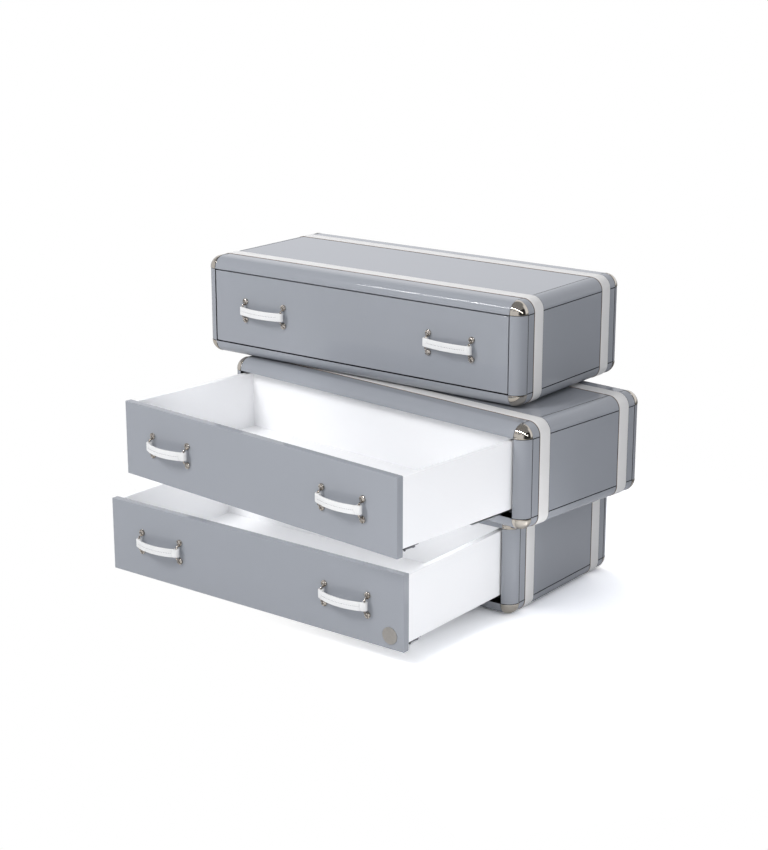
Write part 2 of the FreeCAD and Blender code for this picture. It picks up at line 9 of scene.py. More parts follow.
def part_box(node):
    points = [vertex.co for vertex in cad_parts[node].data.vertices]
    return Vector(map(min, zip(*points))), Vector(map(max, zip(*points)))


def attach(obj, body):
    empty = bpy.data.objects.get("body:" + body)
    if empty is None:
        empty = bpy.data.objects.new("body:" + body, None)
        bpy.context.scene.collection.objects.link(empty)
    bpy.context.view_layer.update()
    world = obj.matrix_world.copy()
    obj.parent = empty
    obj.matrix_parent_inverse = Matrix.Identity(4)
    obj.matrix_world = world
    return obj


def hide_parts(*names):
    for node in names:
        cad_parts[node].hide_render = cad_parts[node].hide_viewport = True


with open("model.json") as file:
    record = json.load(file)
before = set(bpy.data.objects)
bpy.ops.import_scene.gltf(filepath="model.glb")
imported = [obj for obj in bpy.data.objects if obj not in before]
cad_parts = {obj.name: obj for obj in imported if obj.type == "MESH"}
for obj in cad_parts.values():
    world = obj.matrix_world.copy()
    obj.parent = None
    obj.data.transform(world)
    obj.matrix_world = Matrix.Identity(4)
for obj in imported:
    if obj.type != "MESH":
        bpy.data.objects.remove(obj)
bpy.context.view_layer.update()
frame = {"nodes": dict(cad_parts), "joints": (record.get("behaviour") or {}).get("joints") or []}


# ==== The view ====
# A standing viewer in front of the chest's right-hand end, through a portrait lens.

SENSOR_MM = 36.0
LENS_MM = 78.905
EYE = (3.1050, -4.2007, 1.9020)
LOOK_DOWN = 16.117
LOOK_ROUND = 37.136

lens = bpy.data.cameras.new("viewer")
lens.sensor_fit = "AUTO"
lens.sensor_width = SENSOR_MM
lens.lens = LENS_MM
viewer = bpy.data.objects.new("viewer", lens)
viewer.location = EYE
viewer.rotation_euler = (radians(90 - LOOK_DOWN), 0, radians(LOOK_ROUND))
bpy.context.scene.collection.objects.link(viewer)
bpy.context.scene.camera = viewer
bpy.context.scene.view_settings.view_transform = "Standard"


# ==== The floor ====
# The painted floor of a photographer's room: matt white, clean, and large enough to
# hold the chest's soft shadow.  Seen directly it is the white of the background.

FLOOR_R = 4.2
FLOOR_SIDES = 96
FLOOR_SHEET = 0.002
FLOOR_GAIN = 2.3
CHEST_CENTRE = (0.10, -0.25, 0.0)
SHADOW_END = 0.85
PAPER_START = 1.5
SPILL_WAY = (-0.51, -0.86, 0.0)        # the floor is brightest in front, to the left
SPILL_START = 0.18
SPILL_FULL = 0.58
DIM_WAY = (0.60, 0.80, 0.0)            # polished surfaces see it dim behind, to the right
DIM_FULL = 0.60
DIM_IN_GLOSS = 0.15
PAPER_IN_GLOSS = 0.65


def linear(hex_colour):
    """An sRGB hex colour as the linear RGBA that a shader takes."""
    channels = [int(hex_colour[i:i + 2], 16) / 255 for i in (1, 3, 5)]
    return [c / 12.92 if c <= 0.04045 else ((c + 0.055) / 1.055) ** 2.4 for c in channels] + [1.0]


def feed(tree, node, sockets):
    """Sets each of a node's sockets to its value, or links it to another node's output."""
    for socket, value in sockets.items():
        if isinstance(value, bpy.types.NodeSocket):
            tree.links.new(value, node.inputs[socket])
        else:
            node.inputs[socket].default_value = value


def add(tree, kind, sockets=None, **settings):
    """Adds a node with its settings, and feeds its sockets."""
    made = tree.nodes.new(kind)
    for key, value in settings.items():
        setattr(made, key, value)
    feed(tree, made, sockets or {})
    return made


def new_material(name):
    """A material with its Principled shader, and the object's own coordinates."""
    material = bpy.data.materials.new(name)
    material.use_nodes = True
    tree = material.node_tree
    place = add(tree, "ShaderNodeTexCoord").outputs["Object"]
    return material, tree, tree.nodes["Principled BSDF"], place


def matt_white_paint():
    """Matt emulsion on a swept floor: faint roller mottling, no gloss.  Away from the chest
    the eye, and a polished surface, see it as plain white paper."""
    material, tree, shader, place = new_material("matt_white_floor_paint")
    tree.nodes.remove(shader)
    mottle = add(tree, "ShaderNodeTexNoise", {"Vector": place, "Scale": 3.0, "Detail": 4.0})
    tone = add(tree, "ShaderNodeMix", {"Factor": mottle.outputs["Fac"], "A": linear("#E9EAEC"),
                                       "B": linear("#EDEEF0")}, data_type="RGBA")
    ray = add(tree, "ShaderNodeLightPath").outputs
    gain = add(tree, "ShaderNodeMapRange", {"Value": ray["Is Camera Ray"], "To Min": 1.0,
                                            "To Max": FLOOR_GAIN}).outputs[0]
    lifted = add(tree, "ShaderNodeVectorMath", {0: tone.outputs["Result"], "Scale": gain},
                 operation="SCALE")
    paint = add(tree, "ShaderNodeBsdfDiffuse", {"Color": lifted.outputs["Vector"]})
    away = add(tree, "ShaderNodeVectorMath", {0: place, 1: CHEST_CENTRE}, operation="DISTANCE")
    open_floor = add(tree, "ShaderNodeMapRange", {"Value": away.outputs["Value"],
                                                  "From Min": SHADOW_END, "From Max": PAPER_START},
                     interpolation_type="SMOOTHSTEP").outputs[0]
    leftward = add(tree, "ShaderNodeVectorMath", {0: place, 1: SPILL_WAY}, operation="DOT_PRODUCT")
    spill = add(tree, "ShaderNodeMapRange", {"Value": leftward.outputs["Value"],
                                             "From Min": SPILL_START, "From Max": SPILL_FULL},
                interpolation_type="SMOOTHSTEP").outputs[0]
    bright = add(tree, "ShaderNodeMath", {0: open_floor, 1: spill}, operation="MAXIMUM").outputs[0]
    mirrored = add(tree, "ShaderNodeMath", {0: ray["Is Glossy Ray"], 1: ray["Is Transmission Ray"]},
                   operation="MAXIMUM").outputs[0]
    seen = add(tree, "ShaderNodeMath", {0: mirrored, 1: ray["Is Camera Ray"]},
               operation="MAXIMUM").outputs[0]
    share = add(tree, "ShaderNodeMath", {0: bright, 1: seen}, operation="MULTIPLY").outputs[0]
    behind = add(tree, "ShaderNodeVectorMath", {0: place, 1: DIM_WAY}, operation="DOT_PRODUCT")
    mirrored_level = add(tree, "ShaderNodeMapRange", {"Value": behind.outputs["Value"],
                                                      "From Max": DIM_FULL, "To Min": PAPER_IN_GLOSS,
                                                      "To Max": DIM_IN_GLOSS}).outputs[0]
    level = add(tree, "ShaderNodeMix", {"Factor": mirrored, "A": 1.0, "B": mirrored_level}).outputs[0]
    paper = add(tree, "ShaderNodeEmission", {"Color": linear("#FFFFFF"), "Strength": level})
    look = add(tree, "ShaderNodeMixShader", {0: share, 1: paint.outputs[0], 2: paper.outputs[0]})
    feed(tree, tree.nodes["Material Output"], {"Surface": look.outputs[0]})
    return material


def floor_disc():
    """A wide thin disc of floor, a little below the chest's glides."""
    bm = bmesh.new()
    bmesh.ops.create_circle(bm, cap_ends=True, segments=FLOOR_SIDES, radius=FLOOR_R)
    bmesh.ops.translate(bm, verts=bm.verts[:], vec=(0, 0, -FLOOR_SHEET))
    mesh = bpy.data.meshes.new("floor")
    bm.to_mesh(mesh)
    bm.free()
    mesh.materials.append(matt_white_paint())
    floor = bpy.data.objects.new("floor", mesh)
    bpy.context.scene.collection.objects.link(floor)


floor_disc()


# ==== The room and its lamps ====
# White paper all round for the eye.  Large soft lamps and cards that polished surfaces
# don't see, and a long strip lamp high in front and a small window at the right that only
# they see.

ROOM_FILL = 0.48
PAPER_WHITE = 1.0
CEILING = 0.30             # levels of the room's parts, as a polished surface sees them
BACK_WALL = 0.94
FRONT_LEFT_WALL = 1.10
FRONT_WALL = 1.20
FRONT_STANDS = 0.0
LOW_WALL = 0.65            # the front wall's lower part, as a share of its upper part
RIGHT_END = 0.05
BETWEEN_JOISTS = 0.6       # shares of the ceiling's level
ON_JOISTS = 1.2
JOIST_SCALE = 14.0         # patterns over the directions of the room
STAND_SCALE = 12.0
JOIST_EDGES = (0.35, 0.65)
STAND_EDGES = (0.46, 0.52)
HORIZON = (-0.08, 0.0)     # where parts of the room meet: X, Y or Z of the direction to them
BACK_TOP = (0.72, 0.82)
FRONT_TOP = (0.58, 0.62)
LOW_WALL_TOP = (0.38, 0.44)
BACK_STARTS = (0.30, 0.40)
LEFT_WALL_ENDS = (-0.52, -0.38)
RIGHT_END_STARTS = (0.62, 0.80)

LAMPS = (
    # name, place, aimed at, width, height, watts, seen in polished surfaces
    ("key_softbox", (-1.96, -4.5, 4.46), (0.0, -0.3, 0.4), 1.9, 1.9, 190.0, False),
    ("front_fill", (2.35, -3.8, 1.45), (0.0, -0.4, 0.35), 1.6, 1.2, 10.8, False),
    ("low_front_fill", (0.6, -4.0, 0.6), (0.0, -0.3, 0.4), 1.4, 1.4, 5.0, False),
    ("front_strip", (3.0, -2.92, 3.8), (3.0, -0.25, 0.83), 12.0, 0.11, 185.0, True),
    ("right_window", (3.4, -0.8, 1.43), (0.5, -0.2, 0.8), 0.45, 0.55, 2.6, True),
    ("overhead", (0.1, 0.3, 3.2), (0.0, 0.0, 0.0), 3.0, 2.4, 20.0, False),
    ("right_card", (2.6, -1.6, 0.9), (0.4, -0.4, 0.35), 1.6, 1.4, 7.3, False),
    ("near_card", (1.15, -1.15, 0.5), (0.5, -0.55, 0.3), 0.5, 0.4, 0.9, False),
    ("drawer_side_card", (0.95, -0.2, 0.12), (0.7, -1.2, 0.14), 0.3, 0.2, 0.8, False),
    ("middle_drawer_lamp", (-0.22, -0.5, 0.6), (-0.42, -0.25, 0.45), 0.3, 0.2, 0.13, False),
    ("lower_drawer_lamp", (0.0, -0.44, 0.335), (0.0, -0.439, 0.0), 0.94, 0.4, 0.85, False),
    ("lower_drawer_right_lamp", (0.25, -0.5, 0.33), (0.45, -0.5, 0.2), 0.2, 0.2, 0.4, False),
    ("lower_drawer_left_lamp", (-0.36, -0.36, 0.33), (-0.46, -0.26, 0.15), 0.12, 0.12, 0.035, False),
    ("lower_drawer_edge_lamp", (0.502, -0.47, 0.335), (0.502, -0.469, 0.0), 0.02, 0.4, 0.09, False),
    ("back_fill", (-3.2, 2.0, 2.0), (0.0, 0.0, 0.4), 2.4, 1.6, 40.0, False),
)


def hang_lamp(name, place, aim, width, height, watts, seen):
    """A lamp lights matt surfaces, or else it is only seen in polished ones."""
    data = bpy.data.lights.new(name, "AREA")
    data.shape = "RECTANGLE"
    data.size = width
    data.size_y = height
    data.energy = watts
    lamp = bpy.data.objects.new(name, data)
    lamp.location = place
    lamp.rotation_euler = (Vector(aim) - Vector(place)).to_track_quat("-Z", "Y").to_euler()
    lamp.visible_glossy = seen
    lamp.visible_diffuse = not seen
    lamp.visible_camera = False
    bpy.context.scene.collection.objects.link(lamp)


def between(value, edges):
    """The sockets of a range that runs from one edge to the other."""
    return {"Value": value, "From Min": edges[0], "From Max": edges[1]}


def paper_room():
    """The eye sees white paper.  A polished surface sees the back wall up to a high edge, a
    bright front wall with stands along its upper part, and a dim ceiling."""
    world = bpy.data.worlds.new("paper_room")
    world.use_nodes = True
    tree = world.node_tree
    tree.nodes.clear()
    ray = add(tree, "ShaderNodeLightPath").outputs
    towards = add(tree, "ShaderNodeTexCoord").outputs["Generated"]
    side = add(tree, "ShaderNodeSeparateXYZ", {"Vector": towards}).outputs
    joists = add(tree, "ShaderNodeTexNoise", {"Vector": towards, "Scale": JOIST_SCALE, "Detail": 2.0})
    ceiling = add(tree, "ShaderNodeMapRange", {
        **between(joists.outputs["Fac"], JOIST_EDGES),
        "To Min": BETWEEN_JOISTS * CEILING, "To Max": ON_JOISTS * CEILING}).outputs[0]
    back = add(tree, "ShaderNodeMapRange", {
        **between(side["Z"], BACK_TOP), "To Min": BACK_WALL, "To Max": ceiling}).outputs[0]
    horizon = add(tree, "ShaderNodeMapRange", between(side["Z"], HORIZON)).outputs[0]
    back = add(tree, "ShaderNodeMix", {"Factor": horizon, "A": CEILING, "B": back}).outputs[0]
    wall = add(tree, "ShaderNodeMapRange", {
        **between(side["X"], LEFT_WALL_ENDS),
        "To Min": FRONT_LEFT_WALL, "To Max": FRONT_WALL}).outputs[0]
    right_end = add(tree, "ShaderNodeMapRange", between(side["X"], RIGHT_END_STARTS)).outputs[0]
    wall = add(tree, "ShaderNodeMix", {"Factor": right_end, "A": wall, "B": RIGHT_END}).outputs[0]
    stands = add(tree, "ShaderNodeTexNoise", {"Vector": towards, "Scale": STAND_SCALE, "Detail": 1.0})
    gaps = add(tree, "ShaderNodeMapRange", between(stands.outputs["Fac"], STAND_EDGES)).outputs[0]
    high = add(tree, "ShaderNodeMix", {"Factor": gaps, "A": FRONT_STANDS, "B": wall}).outputs[0]
    low = add(tree, "ShaderNodeMath", {0: wall, 1: LOW_WALL}, operation="MULTIPLY").outputs[0]
    rise = add(tree, "ShaderNodeMapRange", between(side["Z"], LOW_WALL_TOP)).outputs[0]
    wall = add(tree, "ShaderNodeMix", {"Factor": rise, "A": low, "B": high}).outputs[0]
    below = add(tree, "ShaderNodeMapRange", {
        **between(side["Z"], FRONT_TOP), "To Min": 1.0, "To Max": 0.0}).outputs[0]
    front = add(tree, "ShaderNodeMix", {"Factor": below, "A": ceiling, "B": wall}).outputs[0]
    behind = add(tree, "ShaderNodeMapRange", between(side["Y"], BACK_STARTS)).outputs[0]
    polish = add(tree, "ShaderNodeMix", {"Factor": behind, "A": front, "B": back}).outputs[0]
    mirrored = add(tree, "ShaderNodeMath", {0: ray["Is Glossy Ray"], 1: ray["Is Transmission Ray"]},
                   operation="MAXIMUM").outputs[0]
    indoors = add(tree, "ShaderNodeMix", {"Factor": mirrored, "A": ROOM_FILL, "B": polish}).outputs[0]
    strength = add(tree, "ShaderNodeMix", {"Factor": ray["Is Camera Ray"], "A": indoors,
                                           "B": PAPER_WHITE})
    tint = add(tree, "ShaderNodeMix", {"Factor": ray["Is Camera Ray"], "A": linear("#F9FAFE"),
                                       "B": linear("#FFFFFF")}, data_type="RGBA")
    glow = add(tree, "ShaderNodeBackground", {"Color": tint.outputs["Result"],
                                              "Strength": strength.outputs[0]})
    add(tree, "ShaderNodeOutputWorld", {"Surface": glow.outputs["Background"]})
    bpy.context.scene.world = world


for lamp_facts in LAMPS:
    hang_lamp(*lamp_facts)
paper_room()


# ==== The cases: boards and rounded mouldings ====
# Three equal travel-trunk cases of board, edged with quarter-round hardwood, sprayed in
# one grey polyurethane lacquer and polished.  A shadow groove runs where a board or a cap
# meets a moulding; its faces are painted nearly black as the shade in it.

CASES = ("lower", "middle", "upper")
SIDES = (-1, 1)
MM = 0.001
CASE_W = 1100.0
CASE_D = 515.0
CASE_H = 286.0
EDGE_R = 35.0
PANEL_T = 19.0
FRONT_T = 21.0
SHADOW_W = 2.6
SHADOW_DEPTH = 2.2
BOARD_EASE = 0.25
EASE_STEPS = 2
SHARP_FROM = 35.0          # edges bent by more than this stay crisp
MERGE = 0.001              # points nearer than this are one
MOSTLY = 0.7               # a face looks a way when its normal has this much of it
CAP_SEAM = 1.6             # gap between a moulding's end and the metal cap
MOULDING_STEPS = 24
SHADED = 1                # material number of painted shade, in a groove or gap; 0 is the lacquer
FLAT_X = CASE_W / 2 - EDGE_R
FLAT_Y = CASE_D / 2 - EDGE_R
FLAT_TOP = CASE_H - EDGE_R
HALF_SIDE_H = (FLAT_TOP - EDGE_R) / 2
GREY = "#969AA0"
GREY_WARM = "#999CA3"


def dress(node, material):
    """Puts a finish on a carried-over solid."""
    for slot in frame["nodes"][node].material_slots:
        slot.material = material


def case_place(case):
    """Where a case stands: its turn from the way its drawer slides, its place from its boards."""
    slide = next(j for j in frame["joints"] if j["name"] == f"{case}_drawer_slide")
    turn = atan2(slide["axis"][0], -slide["axis"][1])
    low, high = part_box(f"{case}_top_panel")
    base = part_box(f"{case}_bottom_panel")[0].z
    middle = (low + high) / 2
    return Matrix.Translation((middle.x, middle.y, base)) @ Matrix.Rotation(turn, 4, "Z")


def drawer_place(case):
    """Where a case's drawer stands: the case's place, pulled out as far as the drawer is."""
    place = case_place(case)
    low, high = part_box(f"{case}_drawer_front")
    middle = place.inverted() @ ((low + high) / 2)
    pull = -middle.y - (CASE_D / 2 - FRONT_T / 2) * MM
    return place @ Matrix.Translation((0, -pull, 0))


def polished_lacquer(name, colour, second_colour):
    """Sprayed polyurethane lacquer, flatted and buffed: deep even colour under a hard gloss,
    with a trace of spray waviness that only the reflections show."""
    material, tree, shader, place = new_material(name)
    cloud = add(tree, "ShaderNodeTexNoise", {"Vector": place, "Scale": 6.0, "Detail": 3.0})
    tone = add(tree, "ShaderNodeMix", {"Factor": cloud.outputs["Fac"], "A": linear(colour),
                                       "B": linear(second_colour)}, data_type="RGBA")
    wiped = add(tree, "ShaderNodeTexNoise", {"Vector": place, "Scale": 25.0, "Detail": 6.0})
    polish = add(tree, "ShaderNodeMapRange", {"Value": wiped.outputs["Fac"],
                                              "To Min": 0.02, "To Max": 0.05})
    # Colour drifts over some 170 mm and polish over 40 mm.  Spray waviness is about 2 mm
    # across; drawn at 25 mm so that it shows.
    wave = add(tree, "ShaderNodeTexNoise", {"Vector": place, "Scale": 40.0, "Detail": 1.0})
    peel = add(tree, "ShaderNodeBump", {"Height": wave.outputs["Fac"], "Strength": 0.02,
                                        "Distance": 0.0006})
    feed(tree, shader, {"Base Color": tone.outputs["Result"], "Roughness": polish.outputs[0],
                        "Normal": peel.outputs["Normal"], "IOR": 1.5})
    return material


def paint_groove_shade():
    """Painted shade in the shadow grooves and gaps: black-brown and quite matt."""
    material, tree, shader, place = new_material("painted_shade_in_grooves")
    # The painted shade is mottled like board fibre, which is 1 to 2 mm long; drawn at 2.5 mm so that
    # it shows.
    fibre = add(tree, "ShaderNodeTexNoise", {"Vector": place, "Scale": 400.0, "Detail": 4.0})
    tone = add(tree, "ShaderNodeMix", {"Factor": fibre.outputs["Fac"], "A": linear("#0E0F12"),
                                       "B": linear("#17181B")}, data_type="RGBA")
    feed(tree, shader, {"Base Color": tone.outputs["Result"], "Roughness": 0.8})
    return material


def only(kind, made):
    """The points, edges or faces among what an operator made."""
    return [one for one in made if isinstance(one, kind)]


def move(bm, step, verts=None):
    """Moves some points, or else the whole mesh."""
    bmesh.ops.translate(bm, verts=verts or bm.verts[:], vec=step)


def face_outwards(bm):
    """Turns every face of a closed mesh to look outwards."""
    bmesh.ops.recalc_face_normals(bm, faces=bm.faces[:])


def ease(bm, parts, size, steps=EASE_STEPS, affect="EDGES"):
    """Rounds off edges, or the corners of an outline."""
    bmesh.ops.bevel(bm, geom=parts, offset=size, segments=steps, profile=0.5, affect=affect,
                    material=-1)


def sweep(bm, parts, axis, angle, steps, centre=(0, 0, 0), closed=False):
    """Sweeps points, edges or faces round an axis, and gives the last of what it makes."""
    return bmesh.ops.spin(bm, geom=parts, cent=centre, axis=axis, dvec=(0, 0, 0), angle=angle,
                          steps=steps, use_merge=closed, use_duplicate=False)["geom_last"]


def join_into(bm, other, place=Matrix()):
    """Adds one mesh in the making to another, in its place."""
    other.transform(place)
    part = bpy.data.meshes.new("part")
    other.to_mesh(part)
    other.free()
    bm.from_mesh(part)
    bpy.data.meshes.remove(part)


def set_in_place(bm, name, place, materials, rounded=True):
    """Makes an object of a mesh drawn in a case's own millimetres, smooth where rounded."""
    bm.transform(place @ Matrix.Scale(MM, 4))
    face_outwards(bm)
    for face in bm.faces:
        face.smooth = rounded
    mesh = bpy.data.meshes.new(name)
    bm.to_mesh(mesh)
    bm.free()
    if rounded:
        mesh.set_sharp_from_angle(angle=radians(SHARP_FROM))
    for material in materials:
        mesh.materials.append(material)
    piece = bpy.data.objects.new(name, mesh)
    bpy.context.scene.collection.objects.link(piece)
    return piece


def drawn_out(bm, faces, step):
    """Extrudes faces by a step, and gives the new faces.  A lone face stays as the far end."""
    inner = [f for f in faces if any(len(e.link_faces) > 1 for e in f.edges)]
    made = bmesh.ops.extrude_face_region(bm, geom=faces)["geom"]
    move(bm, step, only(bmesh.types.BMVert, made))
    bmesh.ops.delete(bm, geom=inner, context="FACES")
    return only(bmesh.types.BMFace, made)


def case_board(half_a, half_b, grooved_sides=True):
    """A board at Z 0 to its thickness, cut back at its upper edges for the shadow groove."""
    bm = bmesh.new()
    step = PANEL_T - SHADOW_DEPTH
    bmesh.ops.create_cube(bm, size=1.0)
    bmesh.ops.scale(bm, vec=(2 * half_a, 2 * half_b, step), verts=bm.verts[:])
    move(bm, (0, 0, step / 2))
    cuts = [(way * (half_a - SHADOW_W), 0, 0) for way in SIDES]
    if grooved_sides:
        cuts += [(0, way * (half_b - SHADOW_W), 0) for way in SIDES]
    for cut in cuts:
        bmesh.ops.bisect_plane(bm, geom=bm.verts[:] + bm.edges[:] + bm.faces[:],
                               plane_co=cut, plane_no=cut)
    middle = max((f for f in bm.faces if f.normal.z > MOSTLY), key=lambda f: f.calc_area())
    face = drawn_out(bm, [middle], (0, 0, SHADOW_DEPTH))[0]
    ease(bm, face.edges[:], BOARD_EASE)
    # The groove's faces are painted nearly black as the shade in it.
    for face in bm.faces:
        if step - MERGE < face.calc_center_median().z < PANEL_T - BOARD_EASE:
            face.material_index = SHADED
    return bm


def quarter_round(length, radius):
    """A quarter-round bar along X, centred, bulging to -Y and +Z of the X axis."""
    bm = bmesh.new()
    crest = bm.verts.new((-length / 2, 0, radius))
    sweep(bm, [crest], (1, 0, 0), pi / 2, MOULDING_STEPS)
    heel = bm.verts.new((-length / 2, 0, 0))
    for end in [v for v in bm.verts if len(v.link_edges) == 1]:
        bm.edges.new((end, heel))
    section = bmesh.ops.edgeloop_fill(bm, edges=bm.edges[:])["faces"]
    drawn_out(bm, section, (length, 0, 0))
    face_outwards(bm)
    for face in bm.faces:
        # The flat faces take the painted shade.
        if max(face.normal.y, -face.normal.z) > MOSTLY:
            face.material_index = SHADED
    return bm


def moulding(length):
    """A moulding, a little short of the caps, on its full-length core.  Only its round face is
    lacquered; the flat faces and the core are painted nearly black, as shade in the drawer openings
    and the seams at the caps."""
    bm = quarter_round(length - 2 * CAP_SEAM, EDGE_R)
    core = quarter_round(length, EDGE_R - CAP_SEAM)
    # The core shows only in the seams at the caps, painted nearly black as their shade.
    for face in core.faces:
        face.material_index = SHADED
    join_into(bm, core)
    return bm


def case_mouldings():
    """Four long rails, four short rails and four posts round one case."""
    bm = bmesh.new()
    middle = Matrix.Translation((0, 0, CASE_H / 2))
    for quarter in range(4):
        turn = Matrix.Rotation(quarter * pi / 2, 4, "Z")
        half, out = (FLAT_X, FLAT_Y) if quarter % 2 == 0 else (FLAT_Y, FLAT_X)
        rail_place = Matrix.Translation((0, -out, CASE_H / 2 - EDGE_R))
        for tip_over in (0, pi):
            tilt = Matrix.Rotation(tip_over, 4, "X")
            join_into(bm, moulding(2 * half), middle @ tilt @ turn @ rail_place)
        towards = turn @ Vector((1, -1, 0))
        foot = Matrix.Translation((round(towards.x) * FLAT_X, round(towards.y) * FLAT_Y, 0))
        upright = Matrix.Rotation(pi / 2, 4, "Y")
        join_into(bm, moulding(2 * HALF_SIDE_H), middle @ foot @ turn @ upright)
    return bm


def case_boards():
    """The boards of one case, by name: each a list of a mesh and its place."""
    flat_on_top = Matrix.Translation((0, 0, CASE_H - PANEL_T))
    flat_below = Matrix.Translation((0, 0, PANEL_T)) @ Matrix.Rotation(pi, 4, "X")
    right = (Matrix.Translation((CASE_W / 2 - PANEL_T, 0, CASE_H / 2))
             @ Matrix.Rotation(pi / 2, 4, "Y"))
    left = Matrix.Rotation(pi, 4, "Z") @ right
    behind = (Matrix.Translation((0, CASE_D / 2 - PANEL_T, CASE_H / 2))
              @ Matrix.Rotation(-pi / 2, 4, "X"))
    return {
        "top_panel": [(case_board(FLAT_X, FLAT_Y, False), flat_on_top)],
        "bottom_panel": [(case_board(FLAT_X, FLAT_Y, False), flat_below)],
        "side_panels": [(case_board(HALF_SIDE_H, FLAT_Y), right),
                        (case_board(HALF_SIDE_H, FLAT_Y), left)],
        "back_panel": [(case_board(FLAT_X, HALF_SIDE_H), behind)],
    }


case_lacquer = polished_lacquer("grey_polyurethane_case", GREY, GREY_WARM)
moulding_lacquer = polished_lacquer("grey_polyurethane_mouldings", GREY, GREY_WARM)
# Nearly black painted shade for the grooves, seams and gaps.
groove_shade = paint_groove_shade()
for case in CASES:
    for board, parts in case_boards().items():
        shape = bmesh.new()
        for part, place in parts:
            join_into(shape, part, place)
        panel = set_in_place(shape, f"{case}_{board}_lacquered", case_place(case),
                             [case_lacquer, groove_shade], rounded=False)
        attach(panel, "cases")
        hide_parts(f"{case}_{board}")
    rounds = set_in_place(case_mouldings(), f"{case}_rounded_mouldings", case_place(case),
                          [moulding_lacquer, groove_shade])
    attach(rounds, "cases")
    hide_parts(f"{case}_edge_mouldings")


# ==== Corner caps ====
# Eight pressed caps a case, drawn from nickel-plated brass sheet over the rounded
# corners and polished to a mirror.

CAP_T = 0.7
CAP_EDGE = 0.3
CAP_STEPS = 24


def polished_nickel():
    """Nickel plate buffed to a mirror: warm grey, near-perfect reflections, with faint
    wiping marks and the slight dents that pressing leaves."""
    material, tree, shader, place = new_material("polished_nickel_plate")
    # Bloom is some 17 mm across, a press dent 11 mm.  Wiping marks are finer than 1 mm;
    # drawn at 5.5 mm so that they show.
    bloom = add(tree, "ShaderNodeTexNoise", {"Vector": place, "Scale": 60.0, "Detail": 5.0})
    tone = add(tree, "ShaderNodeMix", {"Factor": bloom.outputs["Fac"], "A": linear("#C9C1B5"),
                                       "B": linear("#D8D1C6")}, data_type="RGBA")
    rub = add(tree, "ShaderNodeTexNoise", {"Vector": place, "Scale": 180.0, "Detail": 8.0})
    polish = add(tree, "ShaderNodeMapRange", {"Value": rub.outputs["Fac"],
                                              "To Min": 0.03, "To Max": 0.10})
    dent = add(tree, "ShaderNodeTexNoise", {"Vector": place, "Scale": 90.0, "Detail": 1.0})
    pressed = add(tree, "ShaderNodeBump", {"Height": dent.outputs["Fac"], "Strength": 0.05,
                                           "Distance": 0.0008})
    feed(tree, shader, {"Base Color": tone.outputs["Result"], "Roughness": polish.outputs[0],
                        "Normal": pressed.outputs["Normal"], "Metallic": 1.0})
    return material


def corner_cap(side_x, side_y, side_z):
    """An eighth of a thin ball with a softened edge, set over one corner."""
    cap = bmesh.new()
    pole = cap.verts.new((0, 0, EDGE_R + CAP_T))
    sweep(cap, [pole], (0, 1, 0), pi / 2, CAP_STEPS)
    sweep(cap, cap.verts[:] + cap.edges[:], (0, 0, 1), pi / 2, CAP_STEPS)
    bmesh.ops.remove_doubles(cap, verts=cap.verts[:], dist=MERGE)
    face_outwards(cap)
    bmesh.ops.solidify(cap, geom=cap.faces[:], thickness=CAP_T)
    rim = [e for e in cap.edges if e.calc_face_angle(0.0) > radians(SHARP_FROM)
           and all(v.co.length > EDGE_R + CAP_T / 2 for v in e.verts)]
    ease(cap, rim, CAP_EDGE)
    bmesh.ops.scale(cap, vec=(side_x, side_y, side_z), verts=cap.verts[:])
    move(cap, (side_x * FLAT_X, side_y * FLAT_Y, CASE_H / 2 + side_z * (CASE_H / 2 - EDGE_R)))
    return cap


cap_nickel = polished_nickel()
for case in CASES:
    caps = bmesh.new()
    for side_x in SIDES:
        for side_y in SIDES:
            for side_z in SIDES:
                join_into(caps, corner_cap(side_x, side_y, side_z))
    caps = set_in_place(caps, f"{case}_pressed_caps", case_place(case), [cap_nickel])
    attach(caps, "cases")
    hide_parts(f"{case}_corner_caps")


# ==== Leather bands ====
# Two bands a case, 42 mm wide, cut from 2 mm coated hide and glued all the way round, over
# a slightly wider band painted nearly black as the shade along their edges.  Hand-cut, so the
# edges wander a little; the cut edge is left raw.

STRAP_W = 42.0
STRAP_T = 2.0
STRAP_PROUD = 1.1
STRAP_INSET = 30.0
STRAP_EDGE = 0.4
STRAP_STEP = 18.0          # spacing of the mesh along the band
STRAP_CORNER_STEPS = 14
STRAP_CUTS = 3
STRAP_WANDER = 0.45
STRAP_SHRINK = 0.35
WANDER_ALONG = 140.0       # how far apart the cut wanders, along the case and down it
WANDER_DOWN = 90.0
CASE_SEED = 10             # far enough apart that no two edges wander alike
SIDE_SEED = 5
EDGE_SEED = 3
CHANNEL_W = 46.0
CHANNEL_PROUD = 0.12       # the painted shade under the band, seen as a thin dark line beside it
HIDE_FACE = 0              # material numbers of a band
RAW_EDGE = 1
CHANNEL_SHADE = 2
UPRIGHT = Matrix.Rotation(pi / 2, 4, "X")     # stands up what is drawn lying down


